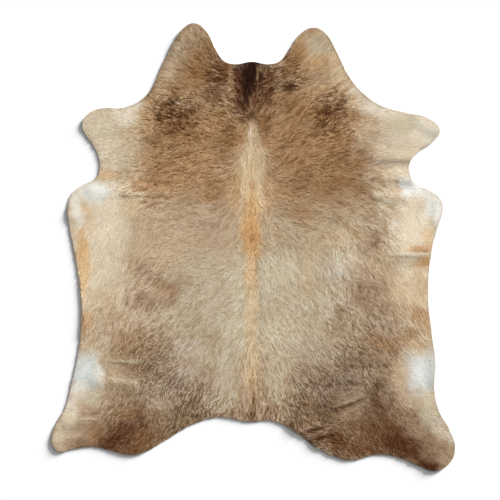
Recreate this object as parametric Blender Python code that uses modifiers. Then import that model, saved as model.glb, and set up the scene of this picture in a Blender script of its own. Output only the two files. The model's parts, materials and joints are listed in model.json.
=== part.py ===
"""Cowhide rug: one tanned hide laid out flat on the floor, hair side up.

Metres, +Z up. The neck end points to +Y, the tail end to -Y, and the flesh
side rests on z = 0. The hide is one sheet: a grid of rows and columns raised
along its soft folds, given its thickness, and cut to the outline of the skin.
"""
import math

import bmesh
import bpy
from mathutils import Vector

CM = 0.01
MM = 0.001

# Driving sizes
HIDE_THICKNESS = 3.0 * MM
SHEET_WIDTH = 208.0 * CM
SHEET_LENGTH = 231.0 * CM
COLUMN_STEP = 4.2 * CM
ROW_STEP = 2.4 * CM
CUTTER_HALF_DEPTH = 10.0 * CM
RIM_POINTS_PER_SPAN = 6
CAP_WELD = 0.1 * MM

# Mean colour of the hair side, and its finish
HIDE_COLOUR = (0.445, 0.314, 0.194, 1.0)
HIDE_ROUGHNESS = 0.8

# Outline of the skin seen from above, clockwise, in centimetres from the
# middle of the rug: place, x to the right, y toward the neck
OUTLINE = (
    ("left neck lobe tip", -29.3, 111.7),
    ("left neck lobe inner shoulder", -23.6, 108.0),
    ("left neck lobe inner side", -19.1, 99.3),
    ("left nape corner", -14.1, 92.6),
    ("left nape notch", -9.1, 91.3),
    ("nape", -0.6, 92.5),
    ("right nape notch", 7.9, 91.3),
    ("right nape corner", 13.4, 92.9),
    ("right neck lobe inner side", 18.9, 100.0),
    ("right neck lobe inner shoulder", 23.9, 106.7),
    ("right neck lobe tip", 30.2, 109.4),
    ("right neck lobe outer shoulder", 35.9, 106.8),
    ("right neck side", 41.2, 98.3),
    ("right neck foot", 48.4, 84.3),
    ("right shoulder", 55.4, 76.3),
    ("right fore shank root", 63.4, 70.8),
    ("right fore shank top", 76.4, 67.0),
    ("right fore shank upper corner", 86.8, 64.4),
    ("right fore shank tip", 93.1, 58.0),
    ("right fore shank lower corner", 89.6, 52.5),
    ("right fore shank underside", 83.4, 48.2),
    ("right armpit upper side", 78.5, 42.8),
    ("right armpit", 78.0, 37.0),
    ("right armpit lower side", 81.0, 31.5),
    ("right elbow top", 88.5, 28.1),
    ("right elbow shoulder", 93.3, 24.0),
    ("right elbow", 94.6, 18.8),
    ("right brisket", 91.8, 9.0),
    ("right belly front", 88.9, -2.5),
    ("right waist", 87.4, -25.5),
    ("right stifle front", 89.0, -42.0),
    ("right stifle", 90.9, -57.5),
    ("right hind shank root", 90.5, -71.5),
    ("right hind shank neck", 92.9, -82.2),
    ("right hind shank outer side", 98.0, -91.2),
    ("right hind shank tip", 100.7, -100.0),
    ("right hind shank corner", 98.3, -107.6),
    ("right hind shank end", 91.0, -111.7),
    ("right hind shank inner side", 81.5, -108.7),
    ("right hock", 73.8, -105.4),
    ("right hock hollow", 62.4, -103.6),
    ("right rump", 48.6, -106.4),
    ("right rump inner side", 39.4, -104.2),
    ("right seat", 30.4, -99.4),
    ("right tail root", 18.8, -90.7),
    ("right tail hollow", 8.4, -86.6),
    ("tail", -1.6, -87.3),
    ("left tail hollow", -17.0, -84.9),
    ("left tail root", -28.2, -87.7),
    ("left seat", -44.1, -96.6),
    ("left rump inner side", -53.2, -101.9),
    ("left rump", -61.5, -103.7),
    ("left hock", -71.3, -101.6),
    ("left hock hollow", -80.6, -99.7),
    ("left hind shank inner side", -90.1, -100.9),
    ("left hind shank end", -96.8, -102.0),
    ("left hind shank corner", -99.8, -99.9),
    ("left hind shank tip", -100.7, -96.4),
    ("left hind shank outer side", -98.6, -89.0),
    ("left hind shank neck", -93.7, -79.8),
    ("left hind shank root", -90.3, -66.6),
    ("left stifle", -87.1, -51.1),
    ("left waist", -85.6, -32.5),
    ("left belly front", -88.0, -9.0),
    ("left brisket", -92.0, 12.0),
    ("left elbow", -92.6, 20.0),
    ("left elbow shoulder", -89.9, 27.4),
    ("left elbow top", -84.1, 31.5),
    ("left armpit lower side", -78.6, 34.6),
    ("left armpit", -76.5, 40.5),
    ("left armpit upper side", -79.2, 49.8),
    ("left fore shank underside", -83.9, 56.5),
    ("left fore shank tip", -85.4, 61.0),
    ("left fore shank corner", -82.4, 66.3),
    ("left fore shank top", -75.5, 69.3),
    ("left fore shank root", -65.1, 69.5),
    ("left shoulder", -56.3, 73.3),
    ("left neck foot", -51.2, 78.4),
    ("left neck side", -45.9, 89.9),
    ("left neck lobe outer side", -39.0, 103.2),
    ("left neck lobe outer shoulder", -34.7, 109.3),
)

# Soft folds, each a low ridge along a straight crest with rounded ends:
# place, crest start x and y, crest end x and y, half width, all in
# centimetres, then the height of the crest at its start and at its end in
# millimetres
FOLDS = (
    ("left neck lobe curl", -41.0, 101.0, -30.0, 116.0, 8.0, 5.0, 8.0),
    ("right neck lobe curl", 27.0, 113.0, 40.0, 102.0, 8.0, 7.0, 4.0),
    ("nape lift", -8.0, 95.0, 9.0, 95.0, 6.0, 4.0, 3.0),
    ("left fore shank curl", -88.0, 62.0, -80.0, 70.0, 8.0, 7.0, 4.0),
    ("right fore shank curl", 84.0, 64.0, 95.0, 57.0, 8.0, 4.0, 7.0),
    ("left shoulder fold", -80.0, 28.0, -46.0, 27.0, 6.0, 8.0, 3.0),
    ("left elbow fold", -93.0, 16.0, -62.0, 18.5, 6.5, 6.0, 2.0),
    ("right shank root fold", 57.0, 45.5, 80.0, 45.0, 6.0, 3.0, 6.0),
    ("right shoulder fold", 58.0, 34.0, 78.0, 34.5, 6.0, 4.0, 8.0),
    ("right elbow fold", 61.0, 26.0, 76.0, 25.0, 5.5, 3.0, 5.0),
    ("right elbow curl", 96.0, 26.0, 94.0, 12.0, 6.0, 6.0, 3.0),
    ("right flank wrinkle", 66.0, -4.2, 92.0, -3.6, 6.0, 4.0, 10.0),
    ("left waist lift", -87.0, -22.0, -86.0, -42.0, 7.0, 3.0, 5.0),
    ("right stifle lift", 92.0, -52.0, 92.0, -66.0, 7.0, 4.0, 6.0),
    ("left stifle fold", -78.0, -66.0, -52.0, -68.5, 6.5, 6.0, 3.0),
    ("left hock fold", -93.0, -87.0, -72.0, -85.5, 6.0, 7.0, 3.0),
    ("left hind shank curl", -101.0, -92.0, -98.0, -103.0, 7.0, 4.0, 7.0),
    ("left rump lift", -70.0, -104.0, -56.0, -105.0, 7.0, 3.0, 6.0),
    ("right seat fold", 20.0, -93.0, 41.0, -85.6, 6.0, 8.0, 3.0),
    ("right rump fold", 31.0, -99.0, 49.0, -92.0, 6.0, 6.0, 2.0),
    ("right thigh fold", 40.0, -78.5, 59.0, -71.0, 6.0, 6.0, 3.0),
    ("right hind shank curl", 101.0, -97.0, 92.0, -112.0, 8.0, 5.0, 8.0),
    ("right flank swell", 31.0, -60.5, 66.0, -67.0, 7.0, 2.0, 5.0),
)


def fold_height(x, y):
    """Height of the sheet's lower face: the sum of the raised-cosine ridges."""
    height = 0.0
    for _, start_x, start_y, end_x, end_y, half_width, start_mm, end_mm in FOLDS:
        start = Vector((start_x * CM, start_y * CM))
        crest = Vector((end_x * CM, end_y * CM)) - start
        offset = Vector((x, y)) - start
        share = offset.dot(crest) / crest.length_squared
        share = min(1.0, max(0.0, share))
        distance = (offset - crest * share).length
        reach = half_width * CM
        if distance < reach:
            crest_height = (start_mm + (end_mm - start_mm) * share) * MM
            height += crest_height * 0.5 * (1.0 + math.cos(math.pi * distance / reach))
    return height


def hide_material():
    """Hair side of the hide: warm beige and matt."""
    material = bpy.data.materials.new("hair_on_hide")
    material.use_nodes = True
    shader = material.node_tree.nodes["Principled BSDF"]
    shader.inputs["Base Color"].default_value = HIDE_COLOUR
    shader.inputs["Roughness"].default_value = HIDE_ROUGHNESS
    shader.inputs["Metallic"].default_value = 0.0
    material.diffuse_color = HIDE_COLOUR
    return material


def outline_curve():
    """Closed flat curve through the outline's places, as a deep filled block."""
    curve = bpy.data.curves.new("outline_curve", "CURVE")
    curve.dimensions = "2D"
    curve.fill_mode = "BOTH"
    curve.resolution_u = RIM_POINTS_PER_SPAN
    curve.render_resolution_u = RIM_POINTS_PER_SPAN
    curve.extrude = CUTTER_HALF_DEPTH
    spline = curve.splines.new("BEZIER")
    spline.bezier_points.add(len(OUTLINE) - 1)
    spline.use_cyclic_u = True
    for point, (_, x, y) in zip(spline.bezier_points, OUTLINE):
        point.co = (x * CM, y * CM, 0.0)
        point.handle_left_type = "AUTO"
        point.handle_right_type = "AUTO"
    return bpy.data.objects.new("outline_curve", curve)


def outline_cutter(collection):
    """Closed solid block with the outline of the skin, that cuts the sheet."""
    curve_object = outline_curve()
    collection.objects.link(curve_object)
    graph = bpy.context.evaluated_depsgraph_get()
    graph.update()
    mesh = bpy.data.meshes.new_from_object(curve_object.evaluated_get(graph))
    mesh.name = "outline_cutter"
    cutter = bpy.data.objects.new("outline_cutter", mesh)
    cutter.matrix_world = curve_object.matrix_world
    bpy.data.objects.remove(curve_object)

    work = bmesh.new()
    work.from_mesh(mesh)
    bmesh.ops.remove_doubles(work, verts=work.verts, dist=CAP_WELD)
    bmesh.ops.recalc_face_normals(work, faces=work.faces)
    work.to_mesh(mesh)
    work.free()

    cutter.hide_render = True
    cutter.display_type = "WIRE"
    collection.objects.link(cutter)
    return cutter


def folded_sheet(collection):
    """Grid of rows and columns raised along the folds."""
    columns = round(SHEET_WIDTH / COLUMN_STEP)
    rows = round(SHEET_LENGTH / ROW_STEP)
    work = bmesh.new()
    bmesh.ops.create_grid(work, x_segments=columns, y_segments=rows, size=0.5)
    for vertex in work.verts:
        x = vertex.co.x * SHEET_WIDTH
        y = vertex.co.y * SHEET_LENGTH
        vertex.co = (x, y, fold_height(x, y))
    bmesh.ops.triangulate(work, faces=work.faces)

    mesh = bpy.data.meshes.new("hide")
    work.to_mesh(mesh)
    work.free()
    sheet = bpy.data.objects.new("hide", mesh)
    collection.objects.link(sheet)
    return sheet


def build_hide(hide_collection, cutter_collection):
    """The whole rug: folded sheet, given its thickness, cut to the outline."""
    hide = folded_sheet(hide_collection)
    hide.data.materials.append(hide_material())
    cutter = outline_cutter(cutter_collection)

    thickness = hide.modifiers.new("hide thickness", "SOLIDIFY")
    thickness.thickness = HIDE_THICKNESS
    thickness.offset = 1.0
    thickness.use_even_offset = True

    cut = hide.modifiers.new("cut to outline", "BOOLEAN")
    cut.operation = "INTERSECT"
    cut.solver = "EXACT"
    cut.object = cutter
    return hide


def main():
    for old in list(bpy.data.objects):
        bpy.data.objects.remove(old)
    hide_collection = bpy.data.collections.new("cowhide_rug")
    cutter_collection = bpy.data.collections.new("cutters")
    bpy.context.scene.collection.children.link(hide_collection)
    bpy.context.scene.collection.children.link(cutter_collection)
    build_hide(hide_collection, cutter_collection)


main()
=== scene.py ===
"""Cowhide rug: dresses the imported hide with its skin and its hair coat, on a pale studio floor.

Metres, +Z up, the neck end toward +Y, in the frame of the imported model. Tables are in centimetres
from the middle of the rug, x to the right and y toward the neck, with heights and hair lengths in
millimetres and turns in degrees, counted from +x toward +y.
"""
import json
import math
from collections import namedtuple

import bmesh
import bpy
import numpy as np
from bpy.props import FloatProperty, FloatVectorProperty, IntProperty, PointerProperty
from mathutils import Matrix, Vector
from mathutils.geometry import delaunay_2d_cdt

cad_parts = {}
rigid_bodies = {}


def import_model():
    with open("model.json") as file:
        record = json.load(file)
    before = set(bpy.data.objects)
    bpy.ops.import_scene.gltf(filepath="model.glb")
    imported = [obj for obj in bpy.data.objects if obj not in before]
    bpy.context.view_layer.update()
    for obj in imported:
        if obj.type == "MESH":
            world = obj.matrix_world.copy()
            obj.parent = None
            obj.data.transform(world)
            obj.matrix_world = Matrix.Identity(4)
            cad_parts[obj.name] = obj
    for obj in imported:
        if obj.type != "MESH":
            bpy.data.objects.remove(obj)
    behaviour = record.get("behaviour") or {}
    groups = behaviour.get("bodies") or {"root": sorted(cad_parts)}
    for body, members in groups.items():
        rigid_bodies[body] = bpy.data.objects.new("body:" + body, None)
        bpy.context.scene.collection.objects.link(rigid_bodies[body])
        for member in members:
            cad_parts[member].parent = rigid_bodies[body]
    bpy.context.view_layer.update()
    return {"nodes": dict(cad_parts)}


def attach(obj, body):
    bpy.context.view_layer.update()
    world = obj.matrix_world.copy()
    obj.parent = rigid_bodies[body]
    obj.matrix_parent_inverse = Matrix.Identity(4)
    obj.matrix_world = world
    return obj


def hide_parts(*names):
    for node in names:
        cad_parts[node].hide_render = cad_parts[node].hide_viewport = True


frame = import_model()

bl_info = {
    "name": "Cowhide Rug",
    "version": (1, 0, 0),
    "blender": (4, 5, 0),
    "location": "3D View > Sidebar > Cowhide Rug",
    "description": "Builds the skin and the hair coat of a laid out cowhide, and a plain studio",
    "category": "Mesh",
}

CM = 0.01
MM = 0.001
HIDE = "hide"

# Turn of the side that both lights come from, and the way to it as x and y
LIGHT_TURN = 42.0
LIGHT_SIDE = (0.74, 0.67)

# Lights: name, setting of the strength, height above the floor and spread, in degrees
SUNS = (
    ("key_light", "key", 45.0, 25.0),
    ("low_light", "rake", 13.0, 17.0),
)

# Camera: lens and sensor in millimetres, and the middle of its view
LENS = 70.0
SENSOR = 36.0
VIEW_MIDDLE = (-1.575 * CM, -1.475 * CM)

# How far a lattice point of the skin lies from the rim at least, in steps of the lattice, the bend
# from which its edges are sharp, and how many places are measured from the rim at once
WELL_INSIDE = 0.6
SHARP_BEND = 50.0
BLOCK = 4000

# Markings: most raggedness of an edge in centimetres, share of a marking's size within which it
# covers fully, and the share over which it fades outside that
MOST_RAGGED = 2.2
FULL_COVER = 0.3
FADE = 1.1

# Size of a wisp and of a clump of wisps, shortest lock, length from which a lock has its full width,
# and depth of the band along the rim where locks are trimmed, in centimetres
WISP = 0.4
CLUMP = 1.6
SHORTEST = 0.7
FULL_WIDTH_FROM = 3.0
TRIM_BAND = 6.0

# Sway of the hair's turn, in degrees: in broad waves, in small waves and the more wisps differ, by
# chance and more in a whorl, and from a dark wisp toward a light one
BROAD_SWAY = 14.0
SMALL_SWAY = 8.0
WISPY_SWAY = 12.0
CHANCE_SWAY = 7.0
WHORL_SWAY = 60.0
STEP_SWAY = 10.0

# Length of a wisp in centimetres for a millimetre of hair, and of a clump against it
WISP_REACH = 0.12
CLUMP_REACH = 1.4

# Spread and bounds of a lock's length against the usual one, and its bend as a share of its length
LENGTH_SPREAD = 0.22
LENGTH_BOUNDS = (0.5, 1.7)
BEND = 0.1

# Share of a lock's length where it is widest, and most lift of its tip in millimetres
WIDEST_AT = 0.45
MOST_LIFT = 9.0

# Depth of the roots in the skin, lowest tip, and droop of the tips past the rim
ROOT_DEPTH = 0.6 * MM
LOWEST_TIP = 0.8 * MM
RIM_DROOP = 2.5 * MM

# Height up to which the hair stands along the rim away from the lights, and how far in, in centimetres
RIM_STAND = 7.5 * MM
RIM_BAND = 3.0

# Slip of the place where a lock takes its colour, in centimetres, and more where wisps differ, and
# how far stray hair takes its cover from there, in a marking's size
SLIP = 0.2
WISPY_SLIP = 0.4
STRAY = 0.12

# Weights of wisps, clumps, curls and chance in a lock's tone, and what a wide swing of tones loses
TONE_WEIGHTS = (0.75, 0.15, 0.35, 0.6)
SWING_LOSS = 0.45

# Tone of the tips, the roots and the under-hair, with their rise or fall where wisps differ: painted
# light on the tips, painted shade at the roots and in the under-hair between the locks
TIP_LIGHT_TONE = 1.02
TIP_LIGHT_RISE = 0.1
ROOT_SHADE_TONE = 0.97
ROOT_SHADE_FALL = 0.35
DARKEST_ROOT_SHADE = 0.35
UNDER_SHADE_TONE = 1.08
UNDER_SHADE_FALL = 0.42

# Wisps' noise that counts as even, the share of a tone that is held back and from where, and most tone
EVEN_WISP = 0.7
HELD_SHARE = 0.7
HELD_FROM = 1.0 / 0.7
MOST_TONE = 2.2

# Green light over which hair starts to count as pale, which it does wholly at twice that
PALE_FROM = 0.2

# Shares of a lock's tone that its red, green and blue take, in dark hair and in pale hair
WARM_DARKS = np.array((0.84, 1.0, 1.12))
COOL_LIGHTS = np.array((0.68, 1.0, 1.35))

# Ceiling of a light lock: times its own colour, or light gold in linear light, then the share that
# counts of what goes past it, and the brightest colour of all
CEILING = 1.3
LIGHT_GOLD = (0.42, 0.28, 0.15)
PAST_CEILING = 0.35
BRIGHTEST = 0.96

# Share by which the hair's shading normal is drawn toward straight up
UP_SHARE = 0.85

# A lock's triangles, its points' places in one square of the strand map, and how many such squares
# the map has each way
LOCK_FACES = np.array(((0, 2, 1), (3, 1, 2), (0, 1, 3), (0, 3, 2)))
LOCK_MAP = np.array(((0.5, 0.0), (0.0, 0.45), (1.0, 0.45), (0.5, 1.0)))
STRAND_PLACES = 400.0

# Parts of the coat: name, lowest and highest x, lowest and highest y
COAT_PARTS = (
    ("hair_neck", -200, 200, 62, 200),
    ("hair_left_shoulder", -200, 0, 20, 62),
    ("hair_right_shoulder", 0, 200, 20, 62),
    ("hair_left_back", -200, 0, -50, 20),
    ("hair_right_back", 0, 200, -50, 20),
    ("hair_left_rump", -200, 0, -200, -50),
    ("hair_right_rump", 0, 200, -200, -50),
)

# One entry for each lock: turn and flow of its hair, what the guides say there, and its noises
Lie = namedtuple("Lie", "turn flow length contrast lift streak clump")

# Soft folds of the solid, each a low ridge along a straight crest with rounded ends: place, crest
# start x and y, crest end x and y, half width, then the crest's height at its start and at its end
FOLDS = (
    ("left neck lobe curl", -41, 101, -30, 116, 8, 5, 8),
    ("right neck lobe curl", 27, 113, 40, 102, 8, 7, 4),
    ("nape lift", -8, 95, 9, 95, 6, 4, 3),
    ("left fore shank curl", -88, 62, -80, 70, 8, 7, 4),
    ("right fore shank curl", 84, 64, 95, 57, 8, 4, 7),
    ("left shoulder fold", -80, 28, -46, 27, 6, 8, 3),
    ("left elbow fold", -93, 16, -62, 18.5, 6.5, 6, 2),
    ("right shank root fold", 57, 45.5, 80, 45, 6, 3, 6),
    ("right shoulder fold", 58, 34, 78, 34.5, 6, 4, 8),
    ("right elbow fold", 61, 26, 76, 25, 5.5, 3, 5),
    ("right elbow curl", 96, 26, 94, 12, 6, 6, 3),
    ("right flank wrinkle", 66, -4.2, 92, -3.6, 6, 4, 10),
    ("left waist lift", -87, -22, -86, -42, 7, 3, 5),
    ("right stifle lift", 92, -52, 92, -66, 7, 4, 6),
    ("left stifle fold", -78, -66, -52, -68.5, 6.5, 6, 3),
    ("left hock fold", -93, -87, -72, -85.5, 6, 7, 3),
    ("left hind shank curl", -101, -92, -98, -103, 7, 4, 7),
    ("left rump lift", -70, -104, -56, -105, 7, 3, 6),
    ("right seat fold", 20, -93, 41, -85.6, 6, 8, 3),
    ("right rump fold", 31, -99, 49, -92, 6, 6, 2),
    ("right thigh fold", 40, -78.5, 59, -71, 6, 6, 3),
    ("right hind shank curl", 101, -97, 92, -112, 8, 5, 8),
    ("right flank swell", 31, -60.5, 66, -67, 7, 2, 5),
)

# Finer creases and low fills on and beside those folds, in the same columns: a height below nought
# is a soft trough
CREASES = (
    ("left shoulder crease", -67, 25, -45, 24.3, 1.6, -1.4, -0.8),
    ("left elbow fill", -86, 23.4, -70, 23.2, 4.2, 2.8, 1.8),
    ("right elbow fill", 91, 22.5, 90, 14, 3.4, 2.2, 1.6),
    ("left elbow crease", -86, 13.8, -66, 15.6, 1.5, -1.4, -0.6),
    ("left stifle ridge", -70.5, -57, -51, -57.3, 1.6, 1.2, 0.7),
    ("left stifle crease", -71, -64.6, -56, -66.4, 1.5, -1.7, -0.7),
    ("left stifle crest", -71, -67.6, -56, -69, 1.5, 0.9, 0.4),
    ("left hock crease", -87.5, -83, -74, -83.2, 1.4, -1.9, -0.8),
    ("left hock crest", -86.5, -85.6, -76.5, -85.8, 1.4, 0.9, 0.4),
    ("left thigh wrinkle upper", -52, -76, -45.5, -79, 1.2, 0.8, 0.4),
    ("left thigh wrinkle lower", -51, -79, -43.5, -82, 1.2, 0.8, 0.4),
    ("right shank root crease", 57.5, 42.2, 77, 42, 2.4, -0.6, -1.1),
    ("right shoulder crease", 47, 32.4, 71, 32.6, 2.2, -0.5, -0.9),
    ("right elbow crease", 52, 23, 63, 23.2, 1.4, -0.8, -1.4),
    ("right flank crest", 73, -3.2, 86, -2.8, 1.5, 0.8, 1.4),
    ("right flank crease", 67.5, -5.2, 82, -5.4, 1.5, -0.9, -1.6),
    ("right seat crease", 23.5, -93.5, 40, -88, 1.5, -2.2, -1.1),
    ("right rump crease", 28.5, -97.6, 46, -92.4, 1.4, -1.7, -0.8),
    ("right thigh crease", 40, -81.2, 58.5, -74.5, 1.6, -1.9, -1.1),
    ("right thigh lower crease", 49.5, -79.2, 58, -76, 1.2, -1.1, -0.7),
    ("right stifle crease", 43.5, -59.5, 66, -59.6, 1.4, -1.1, -0.6),
)

# How the hair lies: place, x, y, reach, turn from root to tip, length, contrast between light and
# dark wisps, from 0 for even hair upward, and lift of the tips
GUIDES = (
    ("nape right side", 8, 80, 5, 35, 20, 1.6, 4),
    ("nape", -1, 86, 5, 95, 20, 0.7, 3),
    ("left nape", -16, 82, 8, 180, 24, 1.2, 4.5),
    ("right nape", 18, 84, 8, 15, 22, 1.3, 4.5),
    ("nape spot", 17, 79.5, 2, 20, 10, 0.3, 2),
    ("left neck lobe tip", -30, 105, 10, 130, 26, 0.8, 4),
    ("left neck lobe", -38, 90, 12, 160, 30, 0.65, 5),
    ("right neck lobe tip", 30, 103, 10, 55, 26, 0.35, 4),
    ("right neck lobe", 38, 90, 12, 28, 30, 0.5, 5),
    ("withers front", -0.5, 72, 5, 90, 20, 1.2, 4),
    ("withers crown", -0.5, 61.5, 2.5, -90, 16, 0.6, 1.5),
    ("withers right", 8, 66, 5, 55, 24, 1, 4),
    ("withers back", -0.5, 54, 3, -90, 14, 0.5, 2),
    ("spine shoulders", -0.5, 46, 6, -90, 26, 0.4, 4),
    ("left shoulder top", -40, 68, 12, 178, 28, 2.3, 6),
    ("left shoulder corner", -49, 74, 6, 165, 26, 0.5, 4),
    ("left withers", -18, 66, 10, 174, 28, 1.4, 6),
    ("right shoulder top", 40, 66, 12, 32, 28, 2.1, 6),
    ("right shoulder corner", 51, 77, 6, 20, 26, 0.25, 4),
    ("right withers", 17, 66, 10, 38, 28, 0.9, 6),
    ("left shoulder", -42, 50, 12, 186, 28, 1.2, 6),
    ("left lower shoulder", -46, 34, 12, 196, 28, 1, 5),
    ("left inner shoulder", -17, 45, 10, 195, 28, 0.95, 5.5),
    ("right shoulder", 42, 50, 12, 14, 28, 1, 6),
    ("right shoulder rim", 55, 61, 6, 5, 24, 0.4, 4),
    ("right lower shoulder", 44, 33, 12, -8, 34, 0.9, 5.5),
    ("right inner shoulder", 17, 45, 10, 28, 26, 0.95, 5.5),
    ("spine front", -0.5, 38, 7, -90, 34, 0.35, 4),
    ("spine middle", -0.5, 12, 5, -90, 32, 0.45, 4),
    ("spine loin", -0.5, -30, 6, -90, 30, 0.35, 4),
    ("spine rump", -0.5, -64, 6, -90, 26, 0.75, 4),
    ("left back", -30, 15, 12, 188, 30, 0.5, 4.5),
    ("left inner back", -12, 8, 7, 235, 30, 0.4, 4.5),
    ("left middle back", -32, -10, 12, 196, 28, 0.28, 4.5),
    ("left inner loin", -11, -30, 8, 212, 30, 0.4, 4),
    ("left lower back", -28, -36, 12, 226, 26, 0.55, 4),
    ("left loin", -52, -20, 12, 230, 26, 0.9, 4),
    ("left inner rump", -12, -62, 7, 246, 24, 0.4, 3.5),
    ("right inner rump", 12, -62, 7, -66, 24, 0.6, 3.5),
    ("right back", 28, 15, 12, -12, 32, 0.7, 5),
    ("right inner back", 12, 6, 7, -50, 32, 0.7, 5),
    ("right middle back", 28, -10, 12, -66, 38, 0.4, 5),
    ("right loin strands", 43, 0, 11, -66, 64, 1.15, 5),
    ("right inner loin", 10, -30, 8, -60, 34, 0.55, 4.5),
    ("right lower back", 28, -38, 12, -55, 30, 0.75, 4.5),
    ("right loin", 48, -20, 12, -56, 34, 1.3, 4.5),
    ("left upper flank", -70, 10, 12, 235, 20, 0.2, 0.5),
    ("left flank", -78, -15, 12, 246, 20, 0.25, 0.5),
    ("left lower flank", -78, -40, 10, 240, 20, 0.65, 3),
    ("left waist", -84, -62, 9, 220, 16, 0.12, 0.5),
    ("right upper flank", 62, 10, 9, -35, 24, 0.95, 4),
    ("right outer flank", 82, 8, 9, -60, 18, 0.05, 0.5),
    ("right flank", 80, -18, 10, -62, 20, 0.3, 0.5),
    ("right lower flank", 70, -40, 10, -50, 22, 0.9, 3.5),
    ("right waist", 84, -64, 9, -40, 16, 0.05, 0.3),
    ("left fore shank", -77, 56, 12, 190, 16, 0.32, 0.5),
    ("left fore shank root", -60, 50, 9, 192, 24, 0.3, 4),
    ("right fore shank", 78, 56, 12, -8, 16, 0.04, 0.5),
    ("right fore shank root", 60, 52, 8, 2, 24, 0.4, 4),
    ("left shank shoulder", -59, 67, 6, 176, 20, 0.05, 1),
    ("right shank shoulder", 57, 70, 6, 10, 20, 0.05, 1),
    ("left elbow", -82, 25, 8, 215, 15, 0.03, 0.5),
    ("right elbow", 84, 25, 8, -35, 15, 0.03, 0.3),
    ("left thigh", -48, -62, 12, 228, 12, 1.25, 3.5),
    ("left thigh inner", -31, -58, 6, 228, 20, 0.5, 3.5),
    ("left thigh wrinkles", -47, -79, 5, -28, 12, 0.6, 2),
    ("left stifle bands", -64, -63, 6, -8, 12, 0.5, 2),
    ("left rump", -30, -78, 10, 245, 14, 1.3, 3.5),
    ("left hock", -66, -90, 10, 225, 15, 0.8, 3),
    ("left hind shank", -88, -92, 10, 205, 16, 0.22, 0.5),
    ("right thigh", 48, -62, 12, -48, 12, 1.15, 3.5),
    ("right thigh inner", 33, -54, 6, -50, 20, 0.6, 3.5),
    ("right rump", 32, -80, 12, -62, 14, 1.3, 3.5),
    ("right seat", 33, -92, 6, 10, 12, 0.8, 2),
    ("right thigh wrinkles", 47, -79, 8, 24, 12, 0.6, 2),
    ("right hock", 66, -88, 12, -50, 14, 0.75, 3),
    ("right hind shank", 88, -98, 10, -35, 16, 0.45, 2.5),
    ("tail root", -0.5, -82, 8, -90, 22, 1.1, 3.5),
)

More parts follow.
